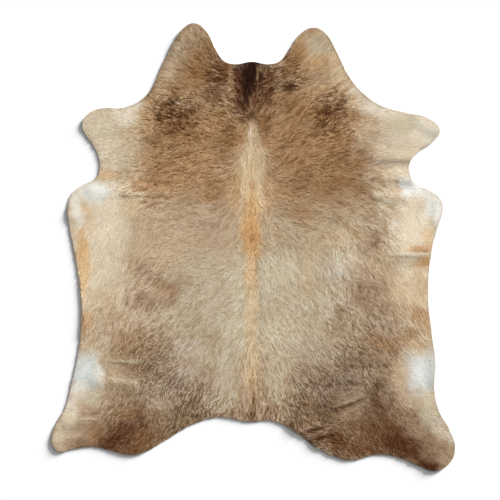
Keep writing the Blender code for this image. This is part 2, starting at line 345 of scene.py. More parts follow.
# Broad markings first, then smaller ones over them: place, x, y, half length, half width, turn of
# the length, colour, and strength from 0 to 1
MARKINGS = (
    ("left shoulder", -32, 57, 42, 27, 0, "hazel", 1),
    ("right shoulder", 33, 57, 38, 27, 0, "hazel", 1),
    ("left neck lobe", -38, 92, 25, 19, 60, "dun", 1),
    ("right neck lobe", 34, 93, 24, 19, -50, "tan", 1),
    ("left lower shoulder", -43, 34, 36, 16, 0, "fawn", 0.9),
    ("left shoulder middle", -50, 40, 12, 10, 0, "hazel", 0.7),
    ("right lower shoulder", 34, 32, 34, 16, 0, "hazel", 0.8),
    ("left back", -36, 5, 38, 22, 0, "camel", 1),
    ("left loin", -20, -33, 30, 30, 0, "ash", 0.9),
    ("right back", 28, 5, 34, 20, 0, "stone", 0.8),
    ("right loin", 22, -32, 32, 30, 0, "ash", 0.9),
    ("left flank", -80, -8, 18, 46, 0, "cream", 1),
    ("right flank", 82, -10, 17, 44, 0, "cream", 1),
    ("left fore shank", -77, 54, 20, 22, 0, "cream", 1),
    ("right fore shank", 78, 54, 22, 20, 0, "cream", 1),
    ("left thigh", -46, -64, 36, 22, 0, "mink", 1),
    ("right thigh", 44, -74, 40, 28, 0, "walnut", 1),
    ("right belly", 60, -28, 16, 34, 0, "mink", 0.8),
    ("tail root", 0, -78, 20, 12, 0, "mushroom", 0.8),
    ("tail root left", -10, -84, 6, 4, 0, "mink", 0.8),
    ("left hind shank", -88, -90, 18, 14, 0, "camel", 1),
    ("right hind shank", 88, -96, 17, 18, 0, "mink", 1),
    ("left hock", -62, -92, 24, 11, 0, "cocoa", 0.9),
    ("left rump edge", -60, -102, 14, 4.5, 0, "cocoa", 0.9),
    ("right hock", 66, -94, 24, 15, 0, "cocoa", 0.9),
    ("left neck side", -43, 88, 14, 6, 105, "camel", 0.9),
    ("left neck lobe inner edge", -23, 98, 9, 5, 120, "bark", 0.8),
    ("left neck middle", -29, 86, 13, 9, 70, "hazel", 1),
    ("left neck foot", -39, 78, 9, 5, 0, "hazel", 0.9),
    ("left neck inner", -24, 87, 10, 6, 110, "bark", 0.9),
    ("left nape edge", -14, 86, 12, 7, 100, "cocoa", 1),
    ("right neck lobe tip", 33, 102, 9, 7, 0, "ash", 0.8),
    ("right neck side", 44, 88, 15, 6, -65, "sand", 0.9),
    ("right neck lobe inner edge", 24, 97, 8, 4, 60, "hazel", 0.8),
    ("right nape edge", 17, 90, 8, 6, 50, "bark", 1),
    ("right neck foot", 49, 78, 6, 5, 0, "sand", 0.8),
    ("right nape foot", 17, 73, 9, 6, 0, "bark", 0.9),
    ("right neck inner", 23, 84, 6, 5, 0, "bark", 0.7),
    ("nape", 0, 84, 17, 9, 90, "umber", 1),
    ("nape right side", 8, 84, 12, 4.5, 90, "cocoa", 0.9),
    ("nape stripe", -4.8, 81, 15, 4.6, 90, "pitch", 0.85),
    ("nape centre", -1, 88, 12, 5.2, 90, "pitch", 1),
    ("nape stripe core", -4.5, 78, 12, 3.6, 90, "pitch", 0.8),
    ("nape left part", -8.5, 80, 13, 3.2, 90, "umber", 0.9),
    ("nape left foot", -6.5, 71, 4, 4, 0, "umber", 0.9),
    ("nape right foot", 7, 75, 7, 4, 90, "cocoa", 0.9),
    ("right nape dark", 14, 84, 5, 5, 0, "cocoa", 0.5),
    ("nape foot", 0, 69, 7, 4.5, 90, "cocoa", 0.8),
    ("nape left light line", -11.3, 81, 12, 1.1, 90, "tan", 1),
    ("nape right light line", 2.2, 84, 8, 0.45, 90, "tan", 0.5),
    ("nape spot", 17, 79.5, 3.6, 2.7, 30, "umber", 1),
    ("left shank shoulder light", -57, 70, 6, 4, 0, "milk", 0.7),
    ("left shoulder rim tan", -51, 72, 4, 4, 0, "tan", 0.7),
    ("left back fringe", -28, 24, 10, 4, 0, "hazel", 0.45),
    ("right neck dun", 34, 85, 9, 5, 0, "dun", 0.8),
    ("left lower shoulder edge", -58, 30, 7, 5, 0, "fawn", 0.9),
    ("right loin shade", 44, -42, 7, 5, 0, "mink", 0.6),
    ("left thigh crown", -40, -60, 8, 5, 0, "mushroom", 0.7),
    ("right rump shade", 23, -72, 6, 4.5, 0, "ash", 0.6),
    ("tail root shade", -4, -84, 4, 4, 0, "walnut", 0.5),
    ("left stifle edge", -76, -54, 4, 4, 0, "oat", 0.6),
    ("left neck shade", -22, 101, 4, 5, 60, "hazel", 0.8),
    ("left shoulder dark", -39, 66, 12, 7.5, -8, "cocoa", 0.95),
    ("left shoulder dark foot", -41, 61, 10, 5, 0, "cocoa", 0.7),
    ("left neck root", -19, 76, 7, 6, 0, "cocoa", 0.7),
    ("left withers light", -22, 61, 10, 6, 0, "fawn", 0.9),
    ("left withers dark", -16, 53, 12, 5, 70, "bark", 0.7),
    ("left spine light", -8, 53, 8, 2.8, 90, "fawn", 1),
    ("left shoulder light", -31, 41, 12, 5, 5, "fawn", 0.6),
    ("left inner shoulder", -18, 27, 8, 8, 0, "hazel", 0.7),
    ("left shoulder point", -60, 40, 8, 11, 0, "biscuit", 0.8),
    ("left shoulder rim", -53, 64, 8, 5, 90, "tan", 0.8),
    ("left shank root", -60, 58, 7, 10, 0, "sand", 0.9),
    ("left shank root top", -64, 66, 6, 5, 0, "milk", 0.6),
    ("left armpit pale", -67, 29, 8, 5.5, 0, "cream", 0.95),
    ("left armpit ivory", -68, 22, 8, 6, 0, "ivory", 0.9),
    ("left armpit inner", -60, 23, 6, 9, 0, "straw", 1),
    ("right shoulder dark", 38, 67, 14, 9.5, 15, "cocoa", 0.95),
    ("right shoulder dark inner", 26, 69, 8, 5, 0, "hazel", 0.8),
    ("right neck root light", 24, 76, 7, 4, 0, "fawn", 0.5),
    ("right shoulder top", 52, 62, 6, 6, 0, "biscuit", 0.85),
    ("right shoulder edge", 50, 65, 3, 8, -10, "fawn", 0.8),
    ("right shoulder corner", 53, 72, 6, 5, 0, "sand", 0.9),
    ("right withers dark", 7, 64, 7, 5, 90, "bark", 0.9),
    ("right withers light", 9, 53, 7, 5, 90, "fawn", 0.8),
    ("right shoulder light", 36, 54, 14, 4.5, 8, "fawn", 0.6),
    ("right shoulder band", 50, 43, 12, 4.5, -8, "bark", 0.6),
    ("right inner shoulder", 22, 44, 12, 6, 0, "fawn", 0.5),
    ("right lower shoulder dark", 46, 31, 12, 6, 0, "bark", 0.75),
    ("right lower shoulder inner", 24, 31, 10, 6, 0, "bark", 0.45),
    ("right spine side", 15, 24, 7, 6, 0, "fawn", 0.7),
    ("left shank corner", -58, 66, 4, 4, 0, "cream", 0.5),
    ("left thigh middle", -48, -72, 8, 7, 0, "mushroom", 0.5),
    ("left thigh edge", -52, -84, 4, 4, 0, "mink", 0.5),
    ("right seat shade", 26, -90, 4, 4, 0, "cocoa", 0.4),
    ("left inner shoulder tan", -22, 48, 5, 5, 0, "tan", 0.5),
    ("left shoulder edge bark", -47, 66, 4, 4, 0, "bark", 0.5),
    ("left neck root tan", -46, 78, 4, 4, 0, "tan", 0.5),
    ("left flank rim camel", -88, -6, 3, 5, 0, "camel", 0.5),
    ("left inner back dun", -16, 18, 6, 4, 0, "dun", 0.5),
    ("left loin stone", -18, -27, 7, 7, 0, "mushroom", 0.2),
    ("left shank middle", -72, 58, 8, 6, 0, "oat", 0.8),
    ("left shank underside", -82, 53, 6, 5, 0, "oat", 0.6),
    ("left shank flecks", -73.5, 36, 5, 2.4, 0, "apricot", 0.7),
    ("left elbow white", -79, 28, 9, 6, -20, "chalk", 1),
    ("left elbow rim", -89, 22, 4, 8, 0, "milk", 0.8),
    ("right shank root", 56, 54, 5, 8, 0, "camel", 0.8),
    ("right shank root dark", 57, 48, 5, 3.5, 0, "dun", 0.8),
    ("right shoulder band foot", 53, 44, 5, 6, 0, "hazel", 0.6),
    ("right shank top", 64, 68, 11, 4, -8, "milk", 0.6),
    ("right shoulder rim light", 58, 72, 6, 3, -20, "milk", 0.5),
    ("right shank middle", 74, 61, 9, 5, 0, "oat", 0.8),
    ("right shank neck", 58, 62, 5, 5, 0, "sand", 0.5),
    ("right shank shade", 73, 53, 8, 5, 0, "dove", 0.35),
    ("right shank tip", 88, 57, 8, 8, 0, "milk", 0.7),
    ("right shank band", 69, 41.5, 10, 2, 0, "dove", 0.9),
    ("right armpit grey", 60, 36, 5, 5, 0, "camel", 0.8),
    ("right armpit gold", 74, 37, 5, 4, 0, "ivory", 0.9),
    ("right armpit pale", 68, 35, 5, 3.5, 0, "cream", 0.9),
    ("right armpit inner", 66, 29, 5, 7, 0, "sand", 0.9),
    ("right elbow white", 79, 29, 11, 5.5, 0, "chalk", 1),
    ("right elbow gold", 70, 27, 2.6, 6, 0, "straw", 0.9),
    ("right elbow foot", 76, 21, 6, 5, 0, "ivory", 0.9),
    ("right elbow inner", 65, 22, 5, 8, 0, "cream", 0.5),
    ("right elbow rim", 91, 20, 7, 9, 0, "chalk", 0.85),
    ("left elbow foot", -89, 19, 4, 7, 0, "milk", 1),
    ("left flank gold top", -82, 17, 4, 5, 0, "apricot", 0.6),
    ("left flank pale", -76, 10, 9, 10, 0, "ivory", 0.95),
    ("left flank inner", -66, 6, 6, 10, 0, "cream", 0.8),
    ("left flank gold", -85, -8, 20, 3.6, 92, "apricot", 0.9),
    ("left flank honey", -85.5, 1, 9, 3, 92, "honey", 0.5),
    ("left flank tan", -74, -25, 8, 9, 0, "sand", 0.8),
    ("left waist gold", -82, -38, 6, 6, 0, "tan", 0.9),
    ("left waist tan", -79, -45, 6, 4, 0, "camel", 0.8),
    ("left waist rim", -84, -49, 5, 3, 0, "sand", 0.8),
    ("left waist inner", -72, -37, 6, 8, 0, "camel", 0.9),
    ("left stifle white", -84, -63, 9, 12, 0, "mist", 1),
    ("left stifle rim", -88, -72, 5, 5, 0, "milk", 0.7),
    ("left stifle margin", -77, -64, 2.6, 9, 0, "milk", 0.6),
    ("left shoulder foot", -48, 18, 14, 5, 0, "biscuit", 0.7),
    ("left back brown", -36, 19, 9, 5, 0, "dun", 0.6),
    ("left back inner brown", -22, 10, 10, 7, 0, "mushroom", 0.8),
    ("left back light", -44, -4, 11, 7, 0, "biscuit", 0.8),
    ("left spine pale", -8, -16, 12, 5, 90, "oat", 0.85),
    ("left spine pale low", -7, -38, 16, 5, 90, "oat", 0.9),
    ("left mottle one", -60, -6, 6, 4, 0, "camel", 0.8),
    ("left mottle two", -54, -12, 7, 4, -20, "mink", 0.85),
    ("left mottle three", -43, -19, 8, 5, -20, "mink", 1),
    ("left mottle four", -54, -27, 8, 4.5, 0, "mink", 0.95),
    ("left mottle five", -41, -27, 6, 4.5, 0, "mink", 0.8),
    ("left loin brown", -32, -35, 7, 7, 0, "stone", 0.8),
    ("left loin brown low", -24, -45, 7, 6, 0, "stone", 0.7),
    ("left loin light", -33, -50, 9, 5, 0, "dove", 0.9),
    ("left loin foot", -25, -55, 6, 5, 0, "oat", 0.6),
    ("left rump grey", -14, -56, 7, 8, 0, "ash", 0.9),
    ("left thigh top", -63, -48, 9, 5, 0, "dun", 0.6),
    ("left thigh dark top", -50, -47, 9, 4, 0, "mink", 0.5),
    ("left thigh dark band", -53, -60.5, 9, 3.5, 0, "walnut", 0.6),
    ("left stifle tan", -71.5, -62, 4.5, 6, 0, "camel", 0.9),
    ("left stifle sand", -67, -66, 8, 4, 0, "biscuit", 0.8),
    ("left thigh light", -59, -69, 7, 4, 0, "camel", 0.7),
    ("left thigh dark", -40, -68, 9, 5, -20, "walnut", 0.8),
    ("left thigh inner", -32, -62, 6, 4, 0, "dove", 0.7),
    ("left rump dark", -29, -80, 10, 6, -20, "walnut", 0.7),
    ("left rump taupe", -29, -70, 7, 4, 0, "mushroom", 0.8),
    ("left rump light", -39, -55, 7, 3.5, 0, "dove", 0.4),
    ("left tail side", -14, -67, 7, 7, 0, "ash", 0.9),
    ("left tail ash", -15, -77, 8, 6, 20, "ash", 0.8),
    ("left thigh shade", -52, -66, 6, 5, 0, "mushroom", 0.5),
    ("left thigh knot", -42, -67, 3, 2, 0, "bark", 0.7),
    ("left rump knots", -29, -79, 3.5, 2.2, -30, "peat", 0.8),
    ("left rump knot low", -26, -83.5, 4, 2, 30, "peat", 0.8),
    ("left seat peat", -28, -85, 4, 3, 0, "peat", 0.6),
    ("left thigh red band", -57, -60, 9, 2.2, -12, "bark", 0.4),
    ("left thigh red", -60, -52, 10, 6, 0, "fawn", 0.3),
    ("left stifle camel", -64, -66, 5, 4, 0, "camel", 0.5),
    ("left belly camel", -46, -48, 5, 4, 0, "camel", 0.4),
    ("right tail crown", 20, -65, 5, 4, 0, "ash", 0.5),
    ("right belly crown", 56, 6, 4, 4, 0, "camel", 0.5),
    ("left middle back shade", -40, -12, 5, 5, 0, "stone", 0.4),
    ("left rump crown", -46, -72, 5, 5, 0, "mushroom", 0.4),
    ("left armpit rim", -57, 31, 5, 4, 0, "fawn", 0.5),
    ("right thigh mink", 68, -78, 5, 5, 0, "mink", 0.5),
    ("left loin dun", -46, -36, 5, 5, 0, "dun", 0.3),
    ("right shoulder tan", 26, 60, 5, 5, 0, "tan", 0.4),
    ("left stifle foot", -71, -75, 7, 5, 0, "mushroom", 0.8),
    ("left hock rim", -82, -75, 7, 3.5, 0, "oat", 0.8),
    ("left hock rim pale", -92, -81, 6, 5, 0, "milk", 0.8),
    ("left shank rim", -94, -86, 5, 7, 0, "cream", 0.9),
    ("left shank end", -97, -95, 4, 6, 0, "oat", 0.9),
    ("left shank tan", -85, -89, 6, 4, 0, "mushroom", 0.8),
    ("left shank foot", -86, -99, 8, 3.5, 0, "walnut", 1),
    ("left shank brown", -79, -92, 5, 6, 0, "hazel", 0.8),
    ("left hock dark", -71, -98, 9, 5, 0, "umber", 0.9),
    ("left hock dark inner", -64, -92, 7, 5, 0, "umber", 0.5),
    ("left hock top", -62, -82, 8, 4, 0, "bark", 0.8),
    ("left hock inner", -52, -96, 8, 5, 0, "bark", 0.8),
    ("left rump foot", -42, -92, 9, 5, 10, "walnut", 0.9),
    ("left seat", -35, -88, 8, 5, 20, "walnut", 0.9),
    ("left seat top", -40, -83, 8, 4, 0, "peat", 0.7),
    ("left thigh dust", -37, -68, 20, 12, 0, "dove", 0.4),
    ("left loin warmth", -46, -21, 8, 5, 0, "fawn", 0.3),
    ("left lower flank warmth", -64, -45, 7, 5, 0, "fawn", 0.35),
    ("withers light spot", -1.5, 59, 4, 2, 90, "tan", 0.5),
    ("spine wedge", -0.5, 34, 22, 8.5, 90, "straw", 1),
    ("spine wedge tip", -0.5, 55, 9, 3.2, 90, "biscuit", 0.9),
    ("spine pale", -0.5, 46, 12, 5, 90, "straw", 0.7),
    ("spine thread", -1, 56, 5, 0.8, 90, "milk", 0.3),
    ("spine left side", -9, 27, 12, 3, 90, "tan", 0.9),
    ("spine right side", 9, 25, 12, 3, 90, "tan", 0.8),
    ("spine swirl", -0.5, 31.5, 3, 2.4, 90, "hazel", 0.6),
    ("spine gold", -0.5, 20, 13, 6, 90, "apricot", 0.7),
    ("spine honey", -0.5, 9, 12, 5.4, 90, "honey", 0.95),
    ("spine cross", 0, 3.5, 5, 2.4, 0, "ginger", 0.6),
    ("spine line", -0.7, 22, 22, 0.8, 90, "ginger", 0.4),
    ("spine mark", -0.5, 3.6, 2.2, 1.8, 90, "cocoa", 0.9),
    ("spine honey low", -0.5, -2, 8, 4.4, 90, "honey", 0.8),
    ("spine straw", -0.5, -14, 14, 3.2, 90, "apricot", 0.75),
    ("spine cream", -0.5, -38, 22, 3.8, 90, "straw", 1),
    ("spine rump gold", -0.5, -60, 16, 5, 90, "straw", 0.6),
    ("spine rump", -0.5, -64, 7, 2.2, 90, "honey", 0.4),
    ("spine tail gold", 0.5, -69, 4, 2, 90, "hazel", 0.5),
    ("spine tail", 0, -77, 5, 2.2, 90, "hazel", 0.6),
    ("spine tail end", 0, -84, 3.6, 2.8, 90, "cocoa", 0.8),
    ("spine tail line", 0, -80, 6, 1.4, 90, "cocoa", 0.6),
    ("right back taupe", 17, 19, 9, 4.5, 0, "dun", 0.8),
    ("right back hazel", 23, 18, 7, 4, 0, "hazel", 0.6),
    ("right back tan", 42, 16, 12, 5, 0, "dun", 0.7),
    ("right back inner", 11, 8, 7, 5, 90, "camel", 0.7),
    ("right back fawn", 31, 1, 7, 5, 0, "fawn", 0.25),
    ("right back brown", 20, 1.5, 8, 4, 0, "mushroom", 0.7),
    ("right back light", 46, 5, 9, 7, 0, "biscuit", 0.8),
    ("right back sand", 46, -5, 9, 5, 0, "oat", 0.7),
    ("right spine pale", 9, -14, 11, 5, 90, "oat", 0.9),
    ("right loin pale", 17, -13, 7, 8, 0, "oat", 0.8),
    ("right loin brown", 28, -21, 9, 4.5, 30, "stone", 0.8),
    ("right loin stone", 42, -13, 9, 6, 0, "dove", 0.8),
    ("right back khaki", 28, -12, 5, 14, 0, "sand", 0.6),
    ("right loin taupe", 48, -30, 6, 5, 0, "dove", 0.6),
    ("right loin dun", 27, -38, 7, 6, 0, "stone", 0.4),
    ("right loin oat", 14, -46, 10, 12, 0, "oat", 0.8),
    ("right belly hazel", 61, 3, 6, 7, 0, "mink", 0.9),
    ("right belly fawn", 52, -8, 8, 4, 0, "camel", 0.8),
    ("right belly pale", 65, -7, 5, 6, 0, "sand", 0.9),
    ("right belly brown", 56, -24, 8, 9, 0, "mink", 0.9),
    ("right belly top", 59, -13, 5, 4, 0, "camel", 0.9),
    ("right belly taupe", 66, -26, 6, 9, 0, "mushroom", 0.7),
    ("right belly low", 65, -40, 8, 5, 0, "mink", 0.9),
    ("right loin knot", 53, -21, 2.6, 7, -25, "walnut", 0.8),
    ("right loin knot low", 44, -33, 6, 4, 40, "walnut", 0.8),
    ("right belly knot", 63, 2, 2.4, 5, 0, "walnut", 0.7),
    ("right loin spots", 58, -13, 3, 3, 0, "walnut", 0.3),
    ("right stifle inner", 66, -48, 8, 5, 0, "hazel", 0.7),
    ("right thigh top", 51, -57, 11, 5, 0, "walnut", 0.45),
    ("right thigh crown", 56, -72, 5, 5, 0, "mushroom", 0.8),
    ("right rump crown", 38, -66, 5, 4, 0, "mink", 0.6),
    ("right stifle shade", 62, -54, 5, 4, 0, "walnut", 0.5),
    ("right thigh back", 68, -78, 4, 4, 0, "mink", 0.6),
    ("left hock dun", -76, -90, 4, 4, 0, "dun", 0.5),
    ("left armpit cream", -64, 24, 4, 4, 0, "cream", 0.5),
    ("left nape cocoa", -18, 92, 5, 4, 0, "cocoa", 0.3),
    ("left lobe outer light", -39, 99, 4, 4, 0, "oat", 0.35),
    ("left lobe tip dun", -25, 106, 4, 5, 0, "dun", 0.6),
    ("right belly oat", 49, 4, 6, 4, 0, "oat", 0.3),
    ("left shank root light", -64, 43, 6, 5, 0, "oat", 0.5),
    ("right corner milk", 52, 78, 4, 3, -30, "milk", 0.4),
    ("right flank fawn", 73, -34, 5, 5, 0, "fawn", 0.3),
    ("left stifle top sand", -74, -55, 5, 3.5, 0, "sand", 0.4),
    ("left shank cloud", -81, 50, 5, 5, 0, "dove", 0.3),
    ("right tail light", 17, -78, 5, 6, 0, "oat", 0.35),
    ("right back warmth", 25, 18, 7, 5, 0, "hazel", 0.35),
    ("right back edge", 52, 8, 6, 4, 0, "sand", 0.3),
    ("right shoulder shade", 45, 64, 6, 4, 0, "bark", 0.4),
    ("left lobe middle", -36, 95, 6, 5, 60, "dun", 0.35),
    ("left lobe inner shade", -22, 100, 8, 2.6, -62, "walnut", 0.4),
    ("right thigh warmth", 59, -62, 8, 8, 0, "camel", 0.3),
    ("left rim honey", -81, 9, 5, 5, 0, "honey", 0.25),
    ("right flank ridge shade", 80, -27, 5, 5, 0, "tan", 0.35),
    ("left back shade low", -34, -17, 10, 5, 0, "mink", 0.3),
    ("left shoulder warmth", -46, 63, 6, 4, 0, "fawn", 0.45),
    ("withers shade", -6, 64, 9, 4, 0, "bark", 0.3),
    ("left thigh bark", -48, -64, 6, 2.5, -15, "bark", 0.3),
    ("right withers knots", 7, 60, 3, 4, 60, "bark", 0.4),
    ("left withers knots", -15, 53, 7, 3.5, 15, "bark", 0.45),
    ("withers whorl brown", -2, 65, 5, 3, 0, "cocoa", 0.5),
    ("right hock dove", 86, -90, 4, 4, 0, "dove", 0.5),
    ("right back shade", 29, 12, 8, 4, 0, "fawn", 0.35),
    ("right lower flank shade", 74, -36, 4, 4, 0, "camel", 0.5),
    ("left upper rim milk", -88, 12, 3, 5, 0, "milk", 0.5),
    ("right upper flank camel", 62, 6, 4, 5, 0, "camel", 0.5),
    ("right rump foot", 56, -102, 5, 4, 0, "cocoa", 0.5),
    ("right corner tan", 50, 72, 3, 4, 0, "tan", 0.5),
    ("right shank rim milk", 98, -96, 3, 4, 0, "milk", 0.6),
    ("right shank mist", 91, -84, 4, 10, 10, "mist", 0.4),
    ("right waist camel", 86, -42, 3, 3, 0, "camel", 0.5),
    ("right flank pale", 77, 6, 10, 9, 0, "ivory", 1),
    ("right flank pale top", 82, 12, 8, 7, 0, "ivory", 0.9),
    ("right flank gold", 88, 4, 3, 7, 0, "apricot", 0.6),
    ("right flank crest", 83.5, -1.2, 7.5, 1.7, 3, "ginger", 0.75),
    ("right flank crest line", 84.5, -2.2, 5, 0.7, 2, "hazel", 0.8),
    ("right flank honey", 85, -8, 5, 4, 0, "honey", 0.9),
    # Painted shade: a darker band along the right flank crease
    ("right flank crease", 74, -5, 7, 1, 0, "camel", 0.7),
    ("right flank sand", 74, -19, 6, 9, 0, "sand", 0.8),
    ("right flank apricot", 84, -19, 5, 9, 0, "biscuit", 0.9),
    ("right waist fawn", 83, -34, 7, 5, 0, "fawn", 0.8),
    ("right waist hazel", 77, -44, 6, 5, 0, "hazel", 0.8),
    ("right waist ginger", 87, -39, 3, 5, 0, "honey", 0.25),
    ("right waist rim", 84, -48, 6, 4, 0, "biscuit", 0.8),
    ("right waist gold", 86, -41, 4, 4, 0, "tan", 0.4),
    ("right waist inner", 74, -60, 4, 8, 0, "sand", 0.7),
    ("right stifle white", 85, -63, 9, 13, 0, "mist", 1),
    ("right stifle top", 83, -52.5, 6, 2, 0, "cream", 0.7),
    ("right stifle mist low", 88, -66, 4, 4, 0, "mist", 0.4),
    ("right waist foot tan", 81, -49, 5, 3, 0, "tan", 0.35),
    ("right rump pale", 16, -62, 9, 6, 0, "ash", 0.95),
    ("right loin foot", 32, -54, 11, 6, 0, "dove", 0.6),
    ("right rump mink", 25, -65, 8, 6, 0, "mink", 0.9),
    ("right tail pale", 10, -69, 6, 5, 0, "ash", 0.9),
    ("right rump inner", 17, -71, 6, 5, 0, "mushroom", 0.8),
    ("right rump walnut", 25, -78, 8, 6, 0, "walnut", 0.8),
    ("right seat inner", 20, -90, 6, 5, 0, "peat", 0.7),
    ("right rump stone", 15, -77, 6, 6, 0, "mushroom", 0.6),
    ("right tail ash", 13, -74, 6, 5, -30, "ash", 0.5),
    ("right tail side", 9, -82, 6, 4, 0, "mink", 0.8),
    ("right rump peat", 41, -71, 8, 4, 0, "peat", 0.4),
    ("right seat peat", 36, -83, 10, 5.5, 0, "peat", 0.9),
    ("right thigh low", 52, -83, 6, 5, 0, "mink", 0.8),
    ("right thigh peat", 62, -78, 9, 8, 0, "peat", 0.7),
    ("right stifle foot", 74, -71, 5, 8, 0, "camel", 0.95),
    ("right hock pale", 80, -78, 7, 6, 0, "camel", 0.9),
    ("right hock mink", 77, -86, 6, 5, 0, "mink", 0.9),
    ("right shank cream", 89, -79, 5, 9, 0, "oat", 0.95),
    ("right shank rim", 95, -92, 4, 7, 0, "cream", 0.7),
    ("right seat low", 31, -97, 7, 5, 0, "peat", 0.9),
    # Painted shade in the right seat crease
    ("right seat crease", 31, -91.5, 9, 1.1, 18, "umber", 0.9),
    ("right seat cocoa", 41, -97, 9, 5, 0, "cocoa", 0.9),
    ("right rump edge", 50, -103, 14, 4.5, 0, "cocoa", 0.75),
    ("right hock umber", 74, -99, 10, 8, 0, "umber", 0.9),
    ("right hock foot", 80, -104, 8, 4.5, 0, "umber", 0.8),
    ("right rump foot dark", 53, -99, 5, 3, 0, "cocoa", 0.5),
    ("right shank root mink", 81, -91, 6, 4.5, 0, "mink", 0.85),
    ("right shank foot", 89, -103, 5, 5, 0, "walnut", 0.7),
    ("right thigh dust", 44, -67, 24, 12, -10, "dove", 0.32),
    ("right rump dove", 33, -74, 5, 4, 0, "dove", 0.3),
    ("left rump foot peat", -31, -82, 5, 3, 0, "peat", 0.25),
    ("left hock foot cocoa", -56, -97, 5, 3, 0, "cocoa", 0.25),
    ("left hock shade", -61, -76, 5, 4, 0, "walnut", 0.3),
    ("left shank tip dun", -96, -99, 4, 3, 0, "dun", 0.45),
    ("right rump light", 24, -69, 5, 4, 0, "dove", 0.3),
    ("right loin dust", 62, -40, 12, 6, 0, "dove", 0.28),
    ("right shank end dark", 87, -109, 8, 3.6, 0, "umber", 1),
    ("right shank inner dark", 86, -104, 6, 3, 0, "umber", 0.3),
    # The next six rows: the dark ones are painted shade in the seat, rump, thigh and stifle creases, and
    # the glints painted highlights on the crests beside them
    ("right seat glint", 31, -89, 8, 0.6, 18, "mushroom", 0.3),
    ("right rump crease shade", 36, -94.9, 8, 0.9, 16, "umber", 1),
    ("right thigh glint", 48.3, -76.6, 9.4, 0.8, 24, "camel", 0.8),
    ("right thigh crease shade", 49, -78.2, 10.4, 0.8, 24, "umber", 0.8),
    ("right thigh glint low", 50.5, -80.9, 8, 0.8, 24, "mushroom", 0.8),
    ("right stifle crease shade", 56.9, -59.5, 16, 0.6, 0, "peat", 0.9),
    ("right thigh stripe", 45, -68.5, 20, 0.7, 0, "peat", 0.8),
    ("right thigh knot", 62, -70, 6, 2.6, 70, "cocoa", 0.7),
    ("right thigh knot low", 62.5, -79, 5, 3, 110, "cocoa", 0.7),
    ("right thigh swirl", 46, -85.5, 4, 2.2, 0, "mushroom", 0.3),
    # From here to the end: the left hock and shoulder rows are painted shade in their creases, and the
    # glints and the left stifle band are painted highlights on the crests of the left thigh, hock and
    # stifle wrinkles and of the right flank
    ("left thigh glint upper", -48.8, -77.5, 5, 0.7, -28, "oat", 0.6),
    ("left thigh glint lower", -47.2, -80.5, 5.4, 0.7, -26, "camel", 0.6),
    ("left hock crease shade", -80.8, -83.1, 7, 0.6, 0, "walnut", 0.7),
    ("left hock glint", -81.5, -85.7, 5.5, 0.6, 0, "cream", 0.7),
    ("left stifle glint", -62, -57.3, 12, 0.8, -2, "oat", 0.7),
    ("left stifle band", -65.5, -66.4, 11, 0.9, -8, "oat", 0.75),
    ("left shoulder crease shade", -59, 24.6, 15, 0.7, 2, "walnut", 0.25),
    ("right flank glint", 78, -3.6, 9, 0.7, 0, "milk", 0.8),
)


def hair_colour(name, hint, red, green, blue):
    """Property for one colour of the coat."""
    value = (red / 255.0, green / 255.0, blue / 255.0)
    return FloatVectorProperty(
        name=name, description=hint, default=value, min=0.0, max=1.0, subtype="COLOR_GAMMA")


def plain_colour(name, hint, value):
    """Property for a colour in linear light."""
    return FloatVectorProperty(
        name=name, description=hint, default=value, min=0.0, max=1.0, subtype="COLOR")


def length_setting(name, hint, value, low, high):
    """Property for a length, in metres."""
    return FloatProperty(name=name, description=hint, default=value, min=low, max=high, unit="LENGTH")


def share_setting(name, hint, value, low, high):
    """Property for a share or a strength."""
    return FloatProperty(name=name, description=hint, default=value, min=low, max=high, subtype="FACTOR")


class CowhidePalette(bpy.types.PropertyGroup):
    """Colours of the coat, as they show in daylight."""

    chalk: hair_colour("Chalk", "White hair at the elbows", 232, 230, 220)
    mist: hair_colour("Mist", "Cool pale grey hair at the stifles", 209, 211, 205)
    milk: hair_colour("Milk", "Warm white hair along the rim", 228, 219, 201)
    ivory: hair_colour("Ivory", "Palest warm hair of the flanks", 219, 203, 177)
    cream: hair_colour("Cream", "Pale hair of the flanks and shanks", 207, 191, 164)
    oat: hair_colour("Oat", "Pale grey beige beside the spine", 193, 180, 153)
    straw: hair_colour("Straw", "Pale gold along the spine", 202, 178, 142)
    apricot: hair_colour("Apricot", "Light orange along the flanks", 212, 175, 130)
    honey: hair_colour("Honey", "Deeper gold of the spine", 197, 153, 103)
    ginger: hair_colour("Ginger", "Orange brown marks", 184, 132, 80)
    sand: hair_colour("Sand", "Light yellow brown", 193, 170, 138)
    biscuit: hair_colour("Biscuit", "Light warm brown", 190, 164, 132)
    tan: hair_colour("Tan", "Warm light brown of the neck", 182, 148, 108)
    camel: hair_colour("Camel", "Greyish light brown of the back", 182, 158, 130)
    dun: hair_colour("Dun", "Dull mid brown", 160, 136, 108)
    fawn: hair_colour("Fawn", "Warm mid brown of the shoulders", 168, 130, 90)
    ash: hair_colour("Ash", "Grey beige of the loin", 184, 170, 144)
    dove: hair_colour("Dove", "Soft pinkish grey", 184, 168, 148)
    stone: hair_colour("Stone", "Grey brown of the back", 172, 154, 126)
    mushroom: hair_colour("Mushroom", "Light grey brown of the thighs", 170, 146, 119)
    mink: hair_colour("Mink", "Mid grey brown of the belly and thighs", 155, 130, 104)
    walnut: hair_colour("Walnut", "Darker grey brown of the thighs", 138, 112, 86)
    peat: hair_colour("Peat", "Dark grey brown of the rump", 118, 93, 71)
    hazel: hair_colour("Hazel", "Brown of the shoulders", 150, 112, 74)
    bark: hair_colour("Bark", "Dark warm brown", 130, 94, 60)
    cocoa: hair_colour("Cocoa", "Deep brown of the hocks", 102, 67, 40)
    umber: hair_colour("Umber", "Very dark brown", 80, 46, 26)
    pitch: hair_colour("Pitch", "Near black of the nape", 40, 20, 10)


